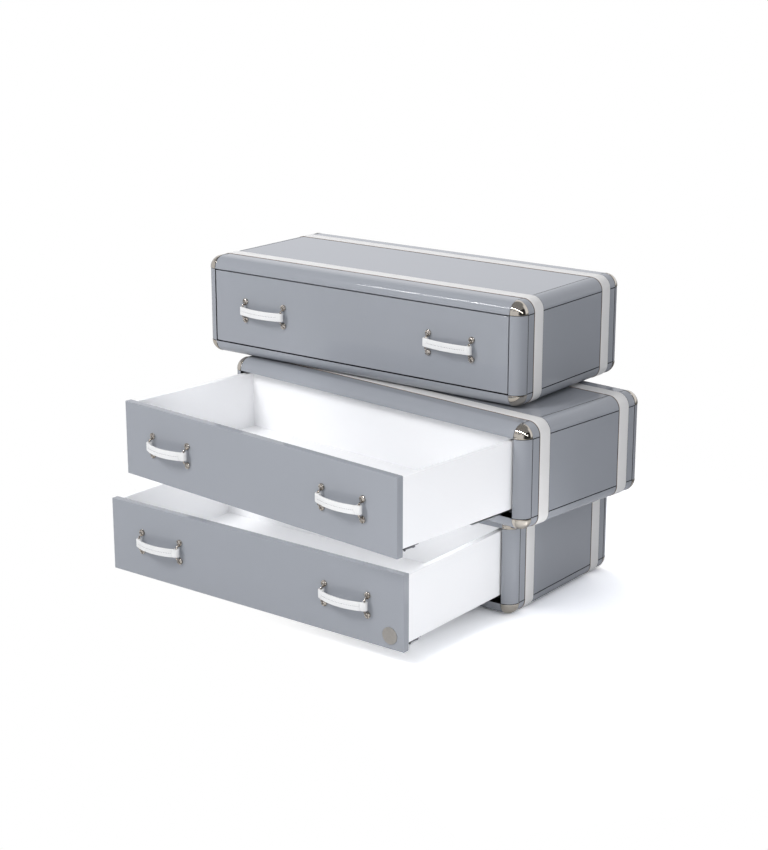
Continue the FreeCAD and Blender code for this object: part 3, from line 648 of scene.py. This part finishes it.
def coated_hide(name, colour, second_colour, gloss):
    """Pigment-coated cowhide: soft off-white, satin, with a fine pebbled grain that breaks
    up the highlight and faint clouding where hands have been."""
    material, tree, shader, place = new_material(name)
    cloud = add(tree, "ShaderNodeTexNoise", {"Vector": place, "Scale": 18.0, "Detail": 5.0})
    tone = add(tree, "ShaderNodeMix", {"Factor": cloud.outputs["Fac"], "A": linear(colour),
                                       "B": linear(second_colour)}, data_type="RGBA")
    # A hand clouds hide over some 55 mm.  Its grain is 0.8 to 1.5 mm across; drawn at
    # 2.5 mm so that it shows.
    pebble = add(tree, "ShaderNodeTexVoronoi", {"Vector": place, "Scale": 400.0},
                 feature="DISTANCE_TO_EDGE")
    crease = add(tree, "ShaderNodeMapRange", {"Value": pebble.outputs["Distance"],
                                              "From Max": 0.25})
    grain = add(tree, "ShaderNodeBump", {"Height": crease.outputs[0], "Strength": 0.35,
                                         "Distance": 0.0003})
    worn = add(tree, "ShaderNodeMapRange", {"Value": cloud.outputs["Fac"],
                                            "To Min": gloss - 0.06, "To Max": gloss + 0.08})
    feed(tree, shader, {"Base Color": tone.outputs["Result"], "Roughness": worn.outputs[0],
                        "Normal": grain.outputs["Normal"], "IOR": 1.46})
    return material


def cut_edge_with_shade():
    """The cut edge of the hide under its coat: dull tan, painted darker in part as the shadow line
    beside the band.
    """
    material, tree, shader, place = new_material("cut_hide_edge_with_painted_shade")
    # Hide fibre is finer than 1 mm; drawn at 2 mm so that it shows.
    fibre = add(tree, "ShaderNodeTexNoise", {"Vector": place, "Scale": 500.0, "Detail": 6.0})
    tone = add(tree, "ShaderNodeMix", {"Factor": fibre.outputs["Fac"], "A": linear("#8E7767"),
                                       "B": linear("#A8927F")}, data_type="RGBA")
    raised = add(tree, "ShaderNodeBump", {"Height": fibre.outputs["Fac"], "Strength": 0.3,
                                          "Distance": 0.0002})
    feed(tree, shader, {"Base Color": tone.outputs["Result"], "Roughness": 0.7,
                        "Normal": raised.outputs["Normal"]})
    return material


def leather_band(side, seed, width, proud, edge):
    """One closed band: the case's rounded outline drawn out to the band's width."""
    bm = bmesh.new()
    bmesh.ops.create_grid(bm, x_segments=1, y_segments=1, size=0.5)
    bmesh.ops.scale(bm, vec=(CASE_W + 2 * proud, CASE_H + 2 * proud, 1), verts=bm.verts[:])
    ease(bm, bm.verts[:], EDGE_R + proud, STRAP_CORNER_STEPS, "VERTICES")
    bmesh.ops.delete(bm, geom=bm.faces[:], context="FACES_ONLY")
    for long_edge in [e for e in bm.edges if e.calc_length() > STRAP_STEP]:
        cuts = int(long_edge.calc_length() / STRAP_STEP)
        bmesh.ops.subdivide_edges(bm, edges=[long_edge], cuts=cuts)
    bm.transform(UPRIGHT)
    move(bm, (0, -width / 2, CASE_H / 2))
    drawn = bmesh.ops.extrude_edge_only(bm, edges=bm.edges[:])["geom"]
    move(bm, (0, width, 0), only(bmesh.types.BMVert, drawn))
    across = [e for e in bm.edges if abs(e.verts[0].co.y - e.verts[1].co.y) > width / 2]
    bmesh.ops.subdivide_edges(bm, edges=across, cuts=STRAP_CUTS, use_grid_fill=True)
    for vert in bm.verts:
        rim = vert.co.y / (width / 2)
        spot = Vector((vert.co.x / WANDER_ALONG, vert.co.z / WANDER_DOWN,
                       seed + EDGE_SEED * (rim > 0)))
        vert.co.y += rim * (STRAP_WANDER * noise.noise(spot) - STRAP_SHRINK / 2)
    move(bm, (0, side * (FLAT_Y - STRAP_INSET - STRAP_W / 2), 0))
    face_outwards(bm)
    bmesh.ops.solidify(bm, geom=bm.faces[:], thickness=STRAP_T)
    lips = [e for e in bm.edges if e.calc_face_angle(0.0) > radians(SHARP_FROM)
            and any(abs(f.normal.y) > MOSTLY for f in e.link_faces)]
    ease(bm, lips, edge)
    return bm


strap_hide = coated_hide("off_white_coated_hide", "#E5E4E3", "#DDDCDB", 0.48)
cut_edge = cut_edge_with_shade()
for number, case in enumerate(CASES):
    bands = bmesh.new()
    for side in SIDES:
        seed = CASE_SEED * number + SIDE_SEED * side
        band = leather_band(side, seed, STRAP_W, STRAP_PROUD, STRAP_EDGE)
        for face in band.faces:
            face.material_index = RAW_EDGE if abs(face.normal.y) > MOSTLY else HIDE_FACE
        # A wider band under each, in the painted groove shade, stands for the shadow line beside it.
        channel = leather_band(side, seed, CHANNEL_W, CHANNEL_PROUD, CHANNEL_PROUD)
        for face in channel.faces:
            face.material_index = CHANNEL_SHADE
        join_into(bands, band)
        join_into(bands, channel)
    bands = set_in_place(bands, f"{case}_leather_bands", case_place(case),
                         [strap_hide, cut_edge, groove_shade])
    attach(bands, "cases")
    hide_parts(f"{case}_straps")


# ==== Drawers ====
# Plain slab fronts in the cases' lacquer, on boxes of board in satin white lacquer.

front_lacquer = polished_lacquer("grey_polyurethane_fronts", GREY, GREY_WARM)


def satin_white_lacquer():
    """White acrylic lacquer, sprayed and left satin: a very even, slightly cool white."""
    material, tree, shader, place = new_material("satin_white_lacquer")
    cloud = add(tree, "ShaderNodeTexNoise", {"Vector": place, "Scale": 5.0, "Detail": 3.0})
    tone = add(tree, "ShaderNodeMix", {"Factor": cloud.outputs["Fac"], "A": linear("#F6F7F9"),
                                       "B": linear("#F9F9FA")}, data_type="RGBA")
    # Spray specks are under 1 mm across; drawn at 4 mm so that they show.
    speck = add(tree, "ShaderNodeTexNoise", {"Vector": place, "Scale": 260.0, "Detail": 2.0})
    matting = add(tree, "ShaderNodeMapRange", {"Value": speck.outputs["Fac"],
                                               "To Min": 0.30, "To Max": 0.42})
    peel = add(tree, "ShaderNodeBump", {"Height": speck.outputs["Fac"], "Strength": 0.06,
                                        "Distance": 0.0002})
    feed(tree, shader, {"Base Color": tone.outputs["Result"], "Roughness": matting.outputs[0],
                        "Normal": peel.outputs["Normal"], "IOR": 1.48})
    return material


white_lacquer = satin_white_lacquer()
for case in CASES:
    dress(f"{case}_drawer_front", front_lacquer)
    for board in ("drawer_sides", "drawer_back", "drawer_bottom"):
        dress(f"{case}_{board}", white_lacquer)


# ==== Handle brackets and screws ====
# Two cast nickel-plated brackets a handle, each a bent rod between two round feet, held
# by slotted round-headed screws whose slots are painted brown-black as their shade.

HANDLE_X = 326.0
HANDLE_Z = 141.5
BRACKET_X = 71.0
ROSETTE_Z = 27.0
ROSETTE_R = 8.9
ROSETTE_T = 4.6
ROSETTE_EASE = 1.0
ROSETTE_EASE_STEPS = 4
ROSETTE_SIDES = 40
ROSETTE_LIP = 0.8
ROSETTE_DISH = 0.5
ROD_R = 2.5
ROD_OUT = 14.5
ROD_FOOT_Z = 18.6
ROD_BEND_R = 4.5
ROD_SIDES = 20
ROD_BEND_STEPS = 8
SCREW_HEAD_R = 6.2
SCREW_HEAD_H = 2.2
SCREW_DOME_STEPS = 7
SCREW_SIDES = 28
SLOT_W = 1.6
SLOT_DEPTH = 1.2
SLOT_LEAN = 45.0
SLOT_SHADE = 1              # material number of a slot's painted shade
FRONT_Y = -CASE_D / 2


def cast_nickel():
    """Cast brackets, nickel-plated and buffed by hand: a warm, slightly cloudy mirror whose
    reflections run from white to brown over each small curve; its colour flecks from brown to
    near white, partly patina and partly painted glints and dark reflections."""
    material, tree, shader, place = new_material("buffed_nickel_casting")
    # Casting grain is about 1 mm across; drawn at 4 mm so that it shows.
    patina_and_glints = add(tree, "ShaderNodeTexNoise", {"Vector": place, "Scale": 240.0, "Detail": 4.0})
    # The colour's flecks are partly patina and partly painted glints and dark reflections.
    worn = add(tree, "ShaderNodeMapRange", {"Value": patina_and_glints.outputs["Fac"],
                                            "From Min": 0.38, "From Max": 0.60})
    tone = add(tree, "ShaderNodeMix", {"Factor": worn.outputs[0], "A": linear("#7A726A"),
                                       "B": linear("#E9E2D9")}, data_type="RGBA")
    wear = add(tree, "ShaderNodeMapRange", {"Value": patina_and_glints.outputs["Fac"],
                                            "To Min": 0.22, "To Max": 0.10})
    cast = add(tree, "ShaderNodeBump", {"Height": patina_and_glints.outputs["Fac"], "Strength": 0.4,
                                        "Distance": 0.0003})
    feed(tree, shader, {"Base Color": tone.outputs["Result"], "Roughness": wear.outputs[0],
                        "Normal": cast.outputs["Normal"], "Metallic": 1.0})
    return material


def shade_in_slots():
    """Painted shade in the screw slots: brown-black and dull."""
    material, tree, shader, place = new_material("painted_shade_in_slots")
    # The painted shade is mottled in flecks under 1 mm; drawn at 2 mm so that it shows.
    shade_mottle = add(tree, "ShaderNodeTexNoise", {"Vector": place, "Scale": 500.0, "Detail": 3.0})
    tone = add(tree, "ShaderNodeMix", {"Factor": shade_mottle.outputs["Fac"], "A": linear("#2B2622"),
                                       "B": linear("#3A332D")}, data_type="RGBA")
    feed(tree, shader, {"Base Color": tone.outputs["Result"], "Roughness": 0.6})
    return material


def onto_front(x, z, out=0.0):
    """The place on a drawer front of a mesh drawn facing up."""
    return Matrix.Translation((x, FRONT_Y - out, z)) @ UPRIGHT


def dished_disc(radius, sides, thick, rim_ease, rim_steps, lip, slope, dish):
    """A round plate with an eased rim, and a shallow dish inside a flat lip."""
    bm = bmesh.new()
    bmesh.ops.create_circle(bm, cap_ends=True, segments=sides, radius=radius)
    face = drawn_out(bm, bm.faces[:], (0, 0, thick))[0]
    face_outwards(bm)
    ease(bm, face.edges[:], rim_ease, rim_steps)
    face = max(bm.faces, key=lambda f: f.calc_center_median().z + f.calc_area())
    bmesh.ops.inset_region(bm, faces=[face], thickness=lip, use_even_offset=True)
    bmesh.ops.inset_region(bm, faces=[face], thickness=slope, depth=-dish, use_even_offset=True)
    return bm


def rosette():
    """A bracket's round foot, dished for the screw head."""
    return dished_disc(ROSETTE_R, ROSETTE_SIDES, ROSETTE_T, ROSETTE_EASE, ROSETTE_EASE_STEPS,
                       ROSETTE_LIP, ROSETTE_DISH, ROSETTE_DISH)


def slotted_screw():
    """A domed head with a straight slot, sitting in its rosette's dish."""
    bm = bmesh.new()
    ball_r = (SCREW_HEAD_R ** 2 + SCREW_HEAD_H ** 2) / (2 * SCREW_HEAD_H)
    crest = bm.verts.new((0, 0, SCREW_HEAD_H))
    sweep(bm, [crest], (0, 1, 0), asin(SCREW_HEAD_R / ball_r), SCREW_DOME_STEPS,
          centre=(0, 0, SCREW_HEAD_H - ball_r))
    sweep(bm, bm.verts[:] + bm.edges[:], (0, 0, 1), 2 * pi, SCREW_SIDES, closed=True)
    bmesh.ops.remove_doubles(bm, verts=bm.verts[:], dist=MERGE)
    rim = [e for e in bm.edges if e.is_boundary]
    skirt = bmesh.ops.extrude_edge_only(bm, edges=rim)["geom"]
    move(bm, (0, 0, -ROSETTE_DISH), only(bmesh.types.BMVert, skirt))
    bmesh.ops.holes_fill(bm, edges=[e for e in bm.edges if e.is_boundary], sides=0)
    face_outwards(bm)
    for side in SIDES:
        bmesh.ops.bisect_plane(bm, geom=bm.verts[:] + bm.edges[:] + bm.faces[:],
                               plane_co=(side * SLOT_W / 2, 0, 0), plane_no=(1, 0, 0))
    strip = [f for f in bm.faces if abs(f.calc_center_median().x) < SLOT_W / 2
             and f.normal.z > MOSTLY]
    before = set(bm.faces) - set(strip)
    drawn_out(bm, strip, (0, 0, -SLOT_DEPTH))
    # The slot's new faces take the painted shade.
    for face in set(bm.faces) - before:
        face.material_index = SLOT_SHADE
    return bm


def bent_rod(x):
    """A round rod from foot to foot: out of the front, up behind the grip and back."""
    bm = bmesh.new()
    bmesh.ops.create_circle(bm, cap_ends=True, segments=ROD_SIDES, radius=ROD_R)
    bm.transform(UPRIGHT)
    move(bm, (0, 0, -ROD_FOOT_Z))
    straight = ROD_OUT - ROD_BEND_R
    end = drawn_out(bm, bm.faces[:], (0, -straight, 0))
    end = turned_about(bm, end, (0, -straight, -ROD_FOOT_Z + ROD_BEND_R))
    end = drawn_out(bm, end, (0, 0, 2 * (ROD_FOOT_Z - ROD_BEND_R)))
    end = turned_about(bm, end, (0, -straight, ROD_FOOT_Z - ROD_BEND_R))
    drawn_out(bm, end, (0, straight, 0))
    bmesh.ops.remove_doubles(bm, verts=bm.verts[:], dist=MERGE)
    move(bm, (x, FRONT_Y, HANDLE_Z))
    return bm


def turned_about(bm, faces, centre):
    """Bends the end of a rod through a quarter turn, and gives its new end."""
    made = sweep(bm, faces, (-1, 0, 0), pi / 2, ROD_BEND_STEPS, centre)
    bmesh.ops.delete(bm, geom=[f for f in faces if f.is_valid], context="FACES_ONLY")
    return only(bmesh.types.BMFace, made)


handle_nickel = cast_nickel()
# Brown-black painted shade for the screw slots.
slot_shade = shade_in_slots()
for case in CASES:
    pulled = drawer_place(case)
    brackets = bmesh.new()
    screws = bmesh.new()
    for handle in SIDES:
        for end in SIDES:
            x = handle * HANDLE_X + end * BRACKET_X
            join_into(brackets, bent_rod(x))
            for level in SIDES:
                z = HANDLE_Z + level * ROSETTE_Z
                join_into(brackets, rosette(), onto_front(x, z))
                lean = Matrix.Rotation(radians(SLOT_LEAN), 4, "Z")
                join_into(screws, slotted_screw(), onto_front(x, z, ROSETTE_T) @ lean)
    brackets = set_in_place(brackets, f"{case}_cast_brackets", pulled, [handle_nickel])
    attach(brackets, f"{case}_drawer")
    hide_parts(f"{case}_handle_brackets")
    screws = set_in_place(screws, f"{case}_slotted_screws", pulled, [handle_nickel, slot_shade])
    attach(screws, f"{case}_drawer")
    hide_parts(f"{case}_handle_screws")


# ==== Leather grips ====
# A bowed grip of stitched white hide between two brackets.  The hide is folded round each
# bracket's rod and sewn back on itself along the middle; use has bowed each one by its own
# amount and let its ends ride up the rods a little.

GRIP_H = 24.0
GRIP_T = 6.0
GRIP_EDGE = 1.8
ROLL_R = 7.8               # outside of the hide rolled round a rod
ROLL_CLEAR = 0.2
ROLL_SHORT = 0.3           # the roll stands this much inside the band's height
GRIP_STEPS = 96
GRIP_EDGE_STEPS = 4
ROLL_STEPS = 40
GRIP_ROWS = (-12.0, -9.5, -7.0, -4.0, -2.0, -1.2, 0.0, 1.2, 2.0, 4.0, 7.0, 9.5, 12.0)
CROWN = 0.5
CHANNEL_HALF = 1.6
CHANNEL_DEPTH = 0.5
CREASE_X = 64.8            # where the folded end stops, from the middle of the grip
CREASE_HALF = 1.4
CREASE_DIPS = {-1: 0.4, 1: 1.5}
STITCH_STEP = 5.0
STITCH_L = 2.6
STITCH_R = 0.75
GRIP_SHAPES = {
    # how far the face bows out from the drawer front, and how high each end rides
    ("upper", -1): (34.5, 2.0, 1.0),
    ("upper", 1): (31.5, 4.0, 1.5),
    ("middle", -1): (40.5, 1.5, 1.5),
    ("middle", 1): (37.2, 2.5, 2.0),
    ("lower", -1): (39.0, 1.5, 1.5),
    ("lower", 1): (38.5, 3.5, 1.3),
}


def grip_bow(face_out):
    """Radius of the band's face, and its half angle, where it runs smoothly into the rolls."""
    reach = face_out - ROD_OUT
    face_r = (BRACKET_X ** 2 + reach ** 2 - ROLL_R ** 2) / (2 * (reach - ROLL_R))
    return face_r, asin(BRACKET_X / (face_r - ROLL_R))


def lies_level(edge):
    """Whether both ends of an edge are at one height."""
    return abs(edge.verts[0].co.z - edge.verts[1].co.z) < MERGE


def grip_band(face_out):
    """The bowed band: a strip swept along its arc, thickened, crowned, creased and sewn in."""
    bm = bmesh.new()
    face_r, half_turn = grip_bow(face_out)
    centre = Vector((0, face_r - face_out, 0))
    start = centre + face_r * Vector((-sin(half_turn), -cos(half_turn), 0))
    first = bm.verts.new(start + Vector((0, 0, GRIP_ROWS[0])))
    sweep(bm, [first], (0, 0, 1), 2 * half_turn, GRIP_STEPS, centre)
    row = bm.edges[:]
    for low, high in zip(GRIP_ROWS, GRIP_ROWS[1:]):
        made = bmesh.ops.extrude_edge_only(bm, edges=row)["geom"]
        move(bm, (0, 0, high - low), only(bmesh.types.BMVert, made))
        row = [e for e in only(bmesh.types.BMEdge, made) if lies_level(e)]
    face_outwards(bm)
    if bm.faces[0].normal.y > 0:
        bmesh.ops.reverse_faces(bm, faces=bm.faces[:])
    bmesh.ops.solidify(bm, geom=bm.faces[:], thickness=GRIP_T)
    rims = [e for e in bm.edges if e.calc_face_angle(0.0) > radians(SHARP_FROM) and lies_level(e)]
    ease(bm, rims, GRIP_EDGE, GRIP_EDGE_STEPS)
    for vert in bm.verts:
        arm = (vert.co - centre).to_2d()
        crown = CROWN * (1 - (2 * vert.co.z / GRIP_H) ** 2) - CROWN
        channel = CHANNEL_DEPTH * max(0.0, 1 - abs(vert.co.z) / CHANNEL_HALF)
        shift = channel - crown
        if arm.length > face_r - GRIP_T / 2:
            creases = sum(dip * exp(-((vert.co.x - end * CREASE_X) / CREASE_HALF) ** 2)
                          for end, dip in CREASE_DIPS.items())
            shift = crown - channel - creases
        vert.co += arm.normalized().to_3d() * shift
    return bm


def grip_roll(end):
    """The hide rolled round a bracket's rod: a thick ring with rounded lips."""
    bm = bmesh.new()
    inner = ROD_R + ROLL_CLEAR
    bmesh.ops.create_grid(bm, x_segments=1, y_segments=1, size=0.5)
    bmesh.ops.scale(bm, vec=(ROLL_R - inner, GRIP_H - 2 * ROLL_SHORT, 1), verts=bm.verts[:])
    ease(bm, bm.verts[:], GRIP_EDGE, GRIP_EDGE_STEPS, "VERTICES")
    bmesh.ops.delete(bm, geom=bm.faces[:], context="FACES_ONLY")
    bm.transform(UPRIGHT)
    move(bm, ((ROLL_R + inner) / 2, 0, 0))
    sweep(bm, bm.verts[:] + bm.edges[:], (0, 0, 1), 2 * pi, ROLL_STEPS, closed=True)
    bmesh.ops.remove_doubles(bm, verts=bm.verts[:], dist=MERGE)
    move(bm, (end * BRACKET_X, -ROD_OUT, 0))
    return bm


def stitches(face_out):
    """Waxed thread along the middle of the band, one short raised bar a stitch."""
    bm = bmesh.new()
    face_r = grip_bow(face_out)[0]
    seat = face_r - CHANNEL_DEPTH
    count = int(2 * CREASE_X / STITCH_STEP)
    for number in range(count):
        turn = asin((number - (count - 1) / 2) * STITCH_STEP / seat)
        made = bmesh.ops.create_icosphere(bm, subdivisions=1, radius=STITCH_R)["verts"]
        bmesh.ops.scale(bm, vec=(STITCH_L / (2 * STITCH_R), 1, 1), verts=made)
        bmesh.ops.rotate(bm, verts=made, cent=(0, 0, 0), matrix=Matrix.Rotation(turn, 3, "Z"))
        move(bm, (sin(turn) * seat, face_r - face_out - cos(turn) * seat, 0), made)
    return bm


def waxed_thread():
    """Waxed linen thread, grey against the white hide, with its twist just visible."""
    material, tree, shader, place = new_material("waxed_linen_thread")
    # The twist repeats every millimetre.
    twist = add(tree, "ShaderNodeTexWave", {"Vector": place, "Scale": 300.0, "Distortion": 1.0})
    tone = add(tree, "ShaderNodeMix", {"Factor": twist.outputs["Fac"], "A": linear("#4A4C53"),
                                       "B": linear("#66686F")}, data_type="RGBA")
    feed(tree, shader, {"Base Color": tone.outputs["Result"], "Roughness": 0.55})
    return material


def ridden_up(handle, left_rise, right_rise):
    """A grip's place on the drawer front, sheared so that each end rides at its own height."""
    slope = (right_rise - left_rise) / (2 * BRACKET_X)
    shear = Matrix(((1, 0, 0, 0), (0, 1, 0, 0), (slope, 0, 1, 0), (0, 0, 0, 1)))
    middle = HANDLE_Z + (left_rise + right_rise) / 2
    return Matrix.Translation((handle * HANDLE_X, FRONT_Y, middle)) @ shear


grip_hide = coated_hide("white_coated_hide", "#E9E9E9", "#E2E2E1", 0.42)
thread = waxed_thread()
for case in CASES:
    grips = bmesh.new()
    threads = bmesh.new()
    for handle in SIDES:
        face_out, left_rise, right_rise = GRIP_SHAPES[case, handle]
        place = ridden_up(handle, left_rise, right_rise)
        join_into(grips, grip_band(face_out), place)
        for end in SIDES:
            join_into(grips, grip_roll(end), place)
        join_into(threads, stitches(face_out), place)
    grips = set_in_place(grips, f"{case}_hide_grips", drawer_place(case), [grip_hide])
    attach(grips, f"{case}_drawer")
    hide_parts(f"{case}_handle_grips")
    threads = set_in_place(threads, f"{case}_grip_stitches", drawer_place(case), [thread])
    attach(threads, f"{case}_drawer")


# ==== Badge ====
# A blank round plate with a raised rim, turned from nickel silver and brushed.

BADGE_X = 467.0
BADGE_Z = 75.0
BADGE_R = 23.0
BADGE_T = 1.4
BADGE_RIM_H = 0.6
BADGE_SIDES = 72
BADGE_EASE = 0.35
BADGE_EASE_STEPS = 3
BADGE_RIM_FLAT = 0.7
BADGE_RIM_SLOPE = 0.6


def brushed_nickel():
    """Nickel silver brushed round its centre and left to dull: a soft warm grey."""
    material, tree, shader, place = new_material("brushed_nickel_silver")
    # Brushing is finer than 0.5 mm; drawn as a haze of 8 mm so that it shows.
    haze = add(tree, "ShaderNodeTexNoise", {"Vector": place, "Scale": 120.0, "Detail": 7.0})
    tone = add(tree, "ShaderNodeMix", {"Factor": haze.outputs["Fac"], "A": linear("#B0ACA7"),
                                       "B": linear("#C9C5C0")}, data_type="RGBA")
    wear = add(tree, "ShaderNodeMapRange", {"Value": haze.outputs["Fac"],
                                            "To Min": 0.34, "To Max": 0.5})
    scratch = add(tree, "ShaderNodeBump", {"Height": haze.outputs["Fac"], "Strength": 0.1,
                                           "Distance": 0.0002})
    feed(tree, shader, {"Base Color": tone.outputs["Result"], "Roughness": wear.outputs[0],
                        "Normal": scratch.outputs["Normal"], "Metallic": 1.0})
    return material


def badge_plate():
    """The blank plate, its rim standing over a shallow dish."""
    bm = dished_disc(BADGE_R, BADGE_SIDES, BADGE_T + BADGE_RIM_H, BADGE_EASE, BADGE_EASE_STEPS,
                     BADGE_RIM_FLAT, BADGE_RIM_SLOPE, BADGE_RIM_H)
    bm.transform(onto_front(BADGE_X, BADGE_Z))
    return bm


plate = set_in_place(badge_plate(), "badge_plate", drawer_place("lower"), [brushed_nickel()])
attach(plate, "lower_drawer")
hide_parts("badge")


# ==== Runners and fittings ====
# Undermount runners of zinc-plated steel with moulded nylon locks and levers, on packing
# boards of birch plywood; rubber glides and pads, and plated bolts through the stack.

def plain_finish(name, colour, second_colour, scale, rough, metallic=0.0):
    """A workaday finish: a fine grain, so many to the metre, drifts between two close
    colours and stands up a little."""
    material, tree, shader, place = new_material(name)
    grain = add(tree, "ShaderNodeTexNoise", {"Vector": place, "Scale": scale, "Detail": 5.0})
    tone = add(tree, "ShaderNodeMix", {"Factor": grain.outputs["Fac"], "A": linear(colour),
                                       "B": linear(second_colour)}, data_type="RGBA")
    raised = add(tree, "ShaderNodeBump", {"Height": grain.outputs["Fac"], "Strength": 0.1,
                                          "Distance": 0.0002})
    feed(tree, shader, {"Base Color": tone.outputs["Result"], "Roughness": rough,
                        "Metallic": metallic, "Normal": raised.outputs["Normal"]})
    return material


zinc = plain_finish("zinc_plated_steel", "#A9ABAE", "#C2C4C6", 90.0, 0.32, 1.0)
moulded = plain_finish("moulded_dark_nylon", "#303236", "#3A3C40", 300.0, 0.5)
lever_nylon = plain_finish("moulded_grey_nylon", "#6E7074", "#7A7C80", 300.0, 0.45)
plywood = plain_finish("birch_packing_board", "#C9AE86", "#B8986B", 60.0, 0.6)
rubber = plain_finish("glide_rubber", "#26272A", "#303134", 200.0, 0.7)
for case in CASES:
    dress(f"{case}_middle_runners", zinc)
    dress(f"{case}_drawer_runners", zinc)
    dress(f"{case}_drawer_locks", moulded)
    dress(f"{case}_release_levers", lever_nylon)
dress("cabinet_runners", zinc)
dress("runner_battens", plywood)
dress("stack_bolts", zinc)
dress("glides_and_pads", rubber)
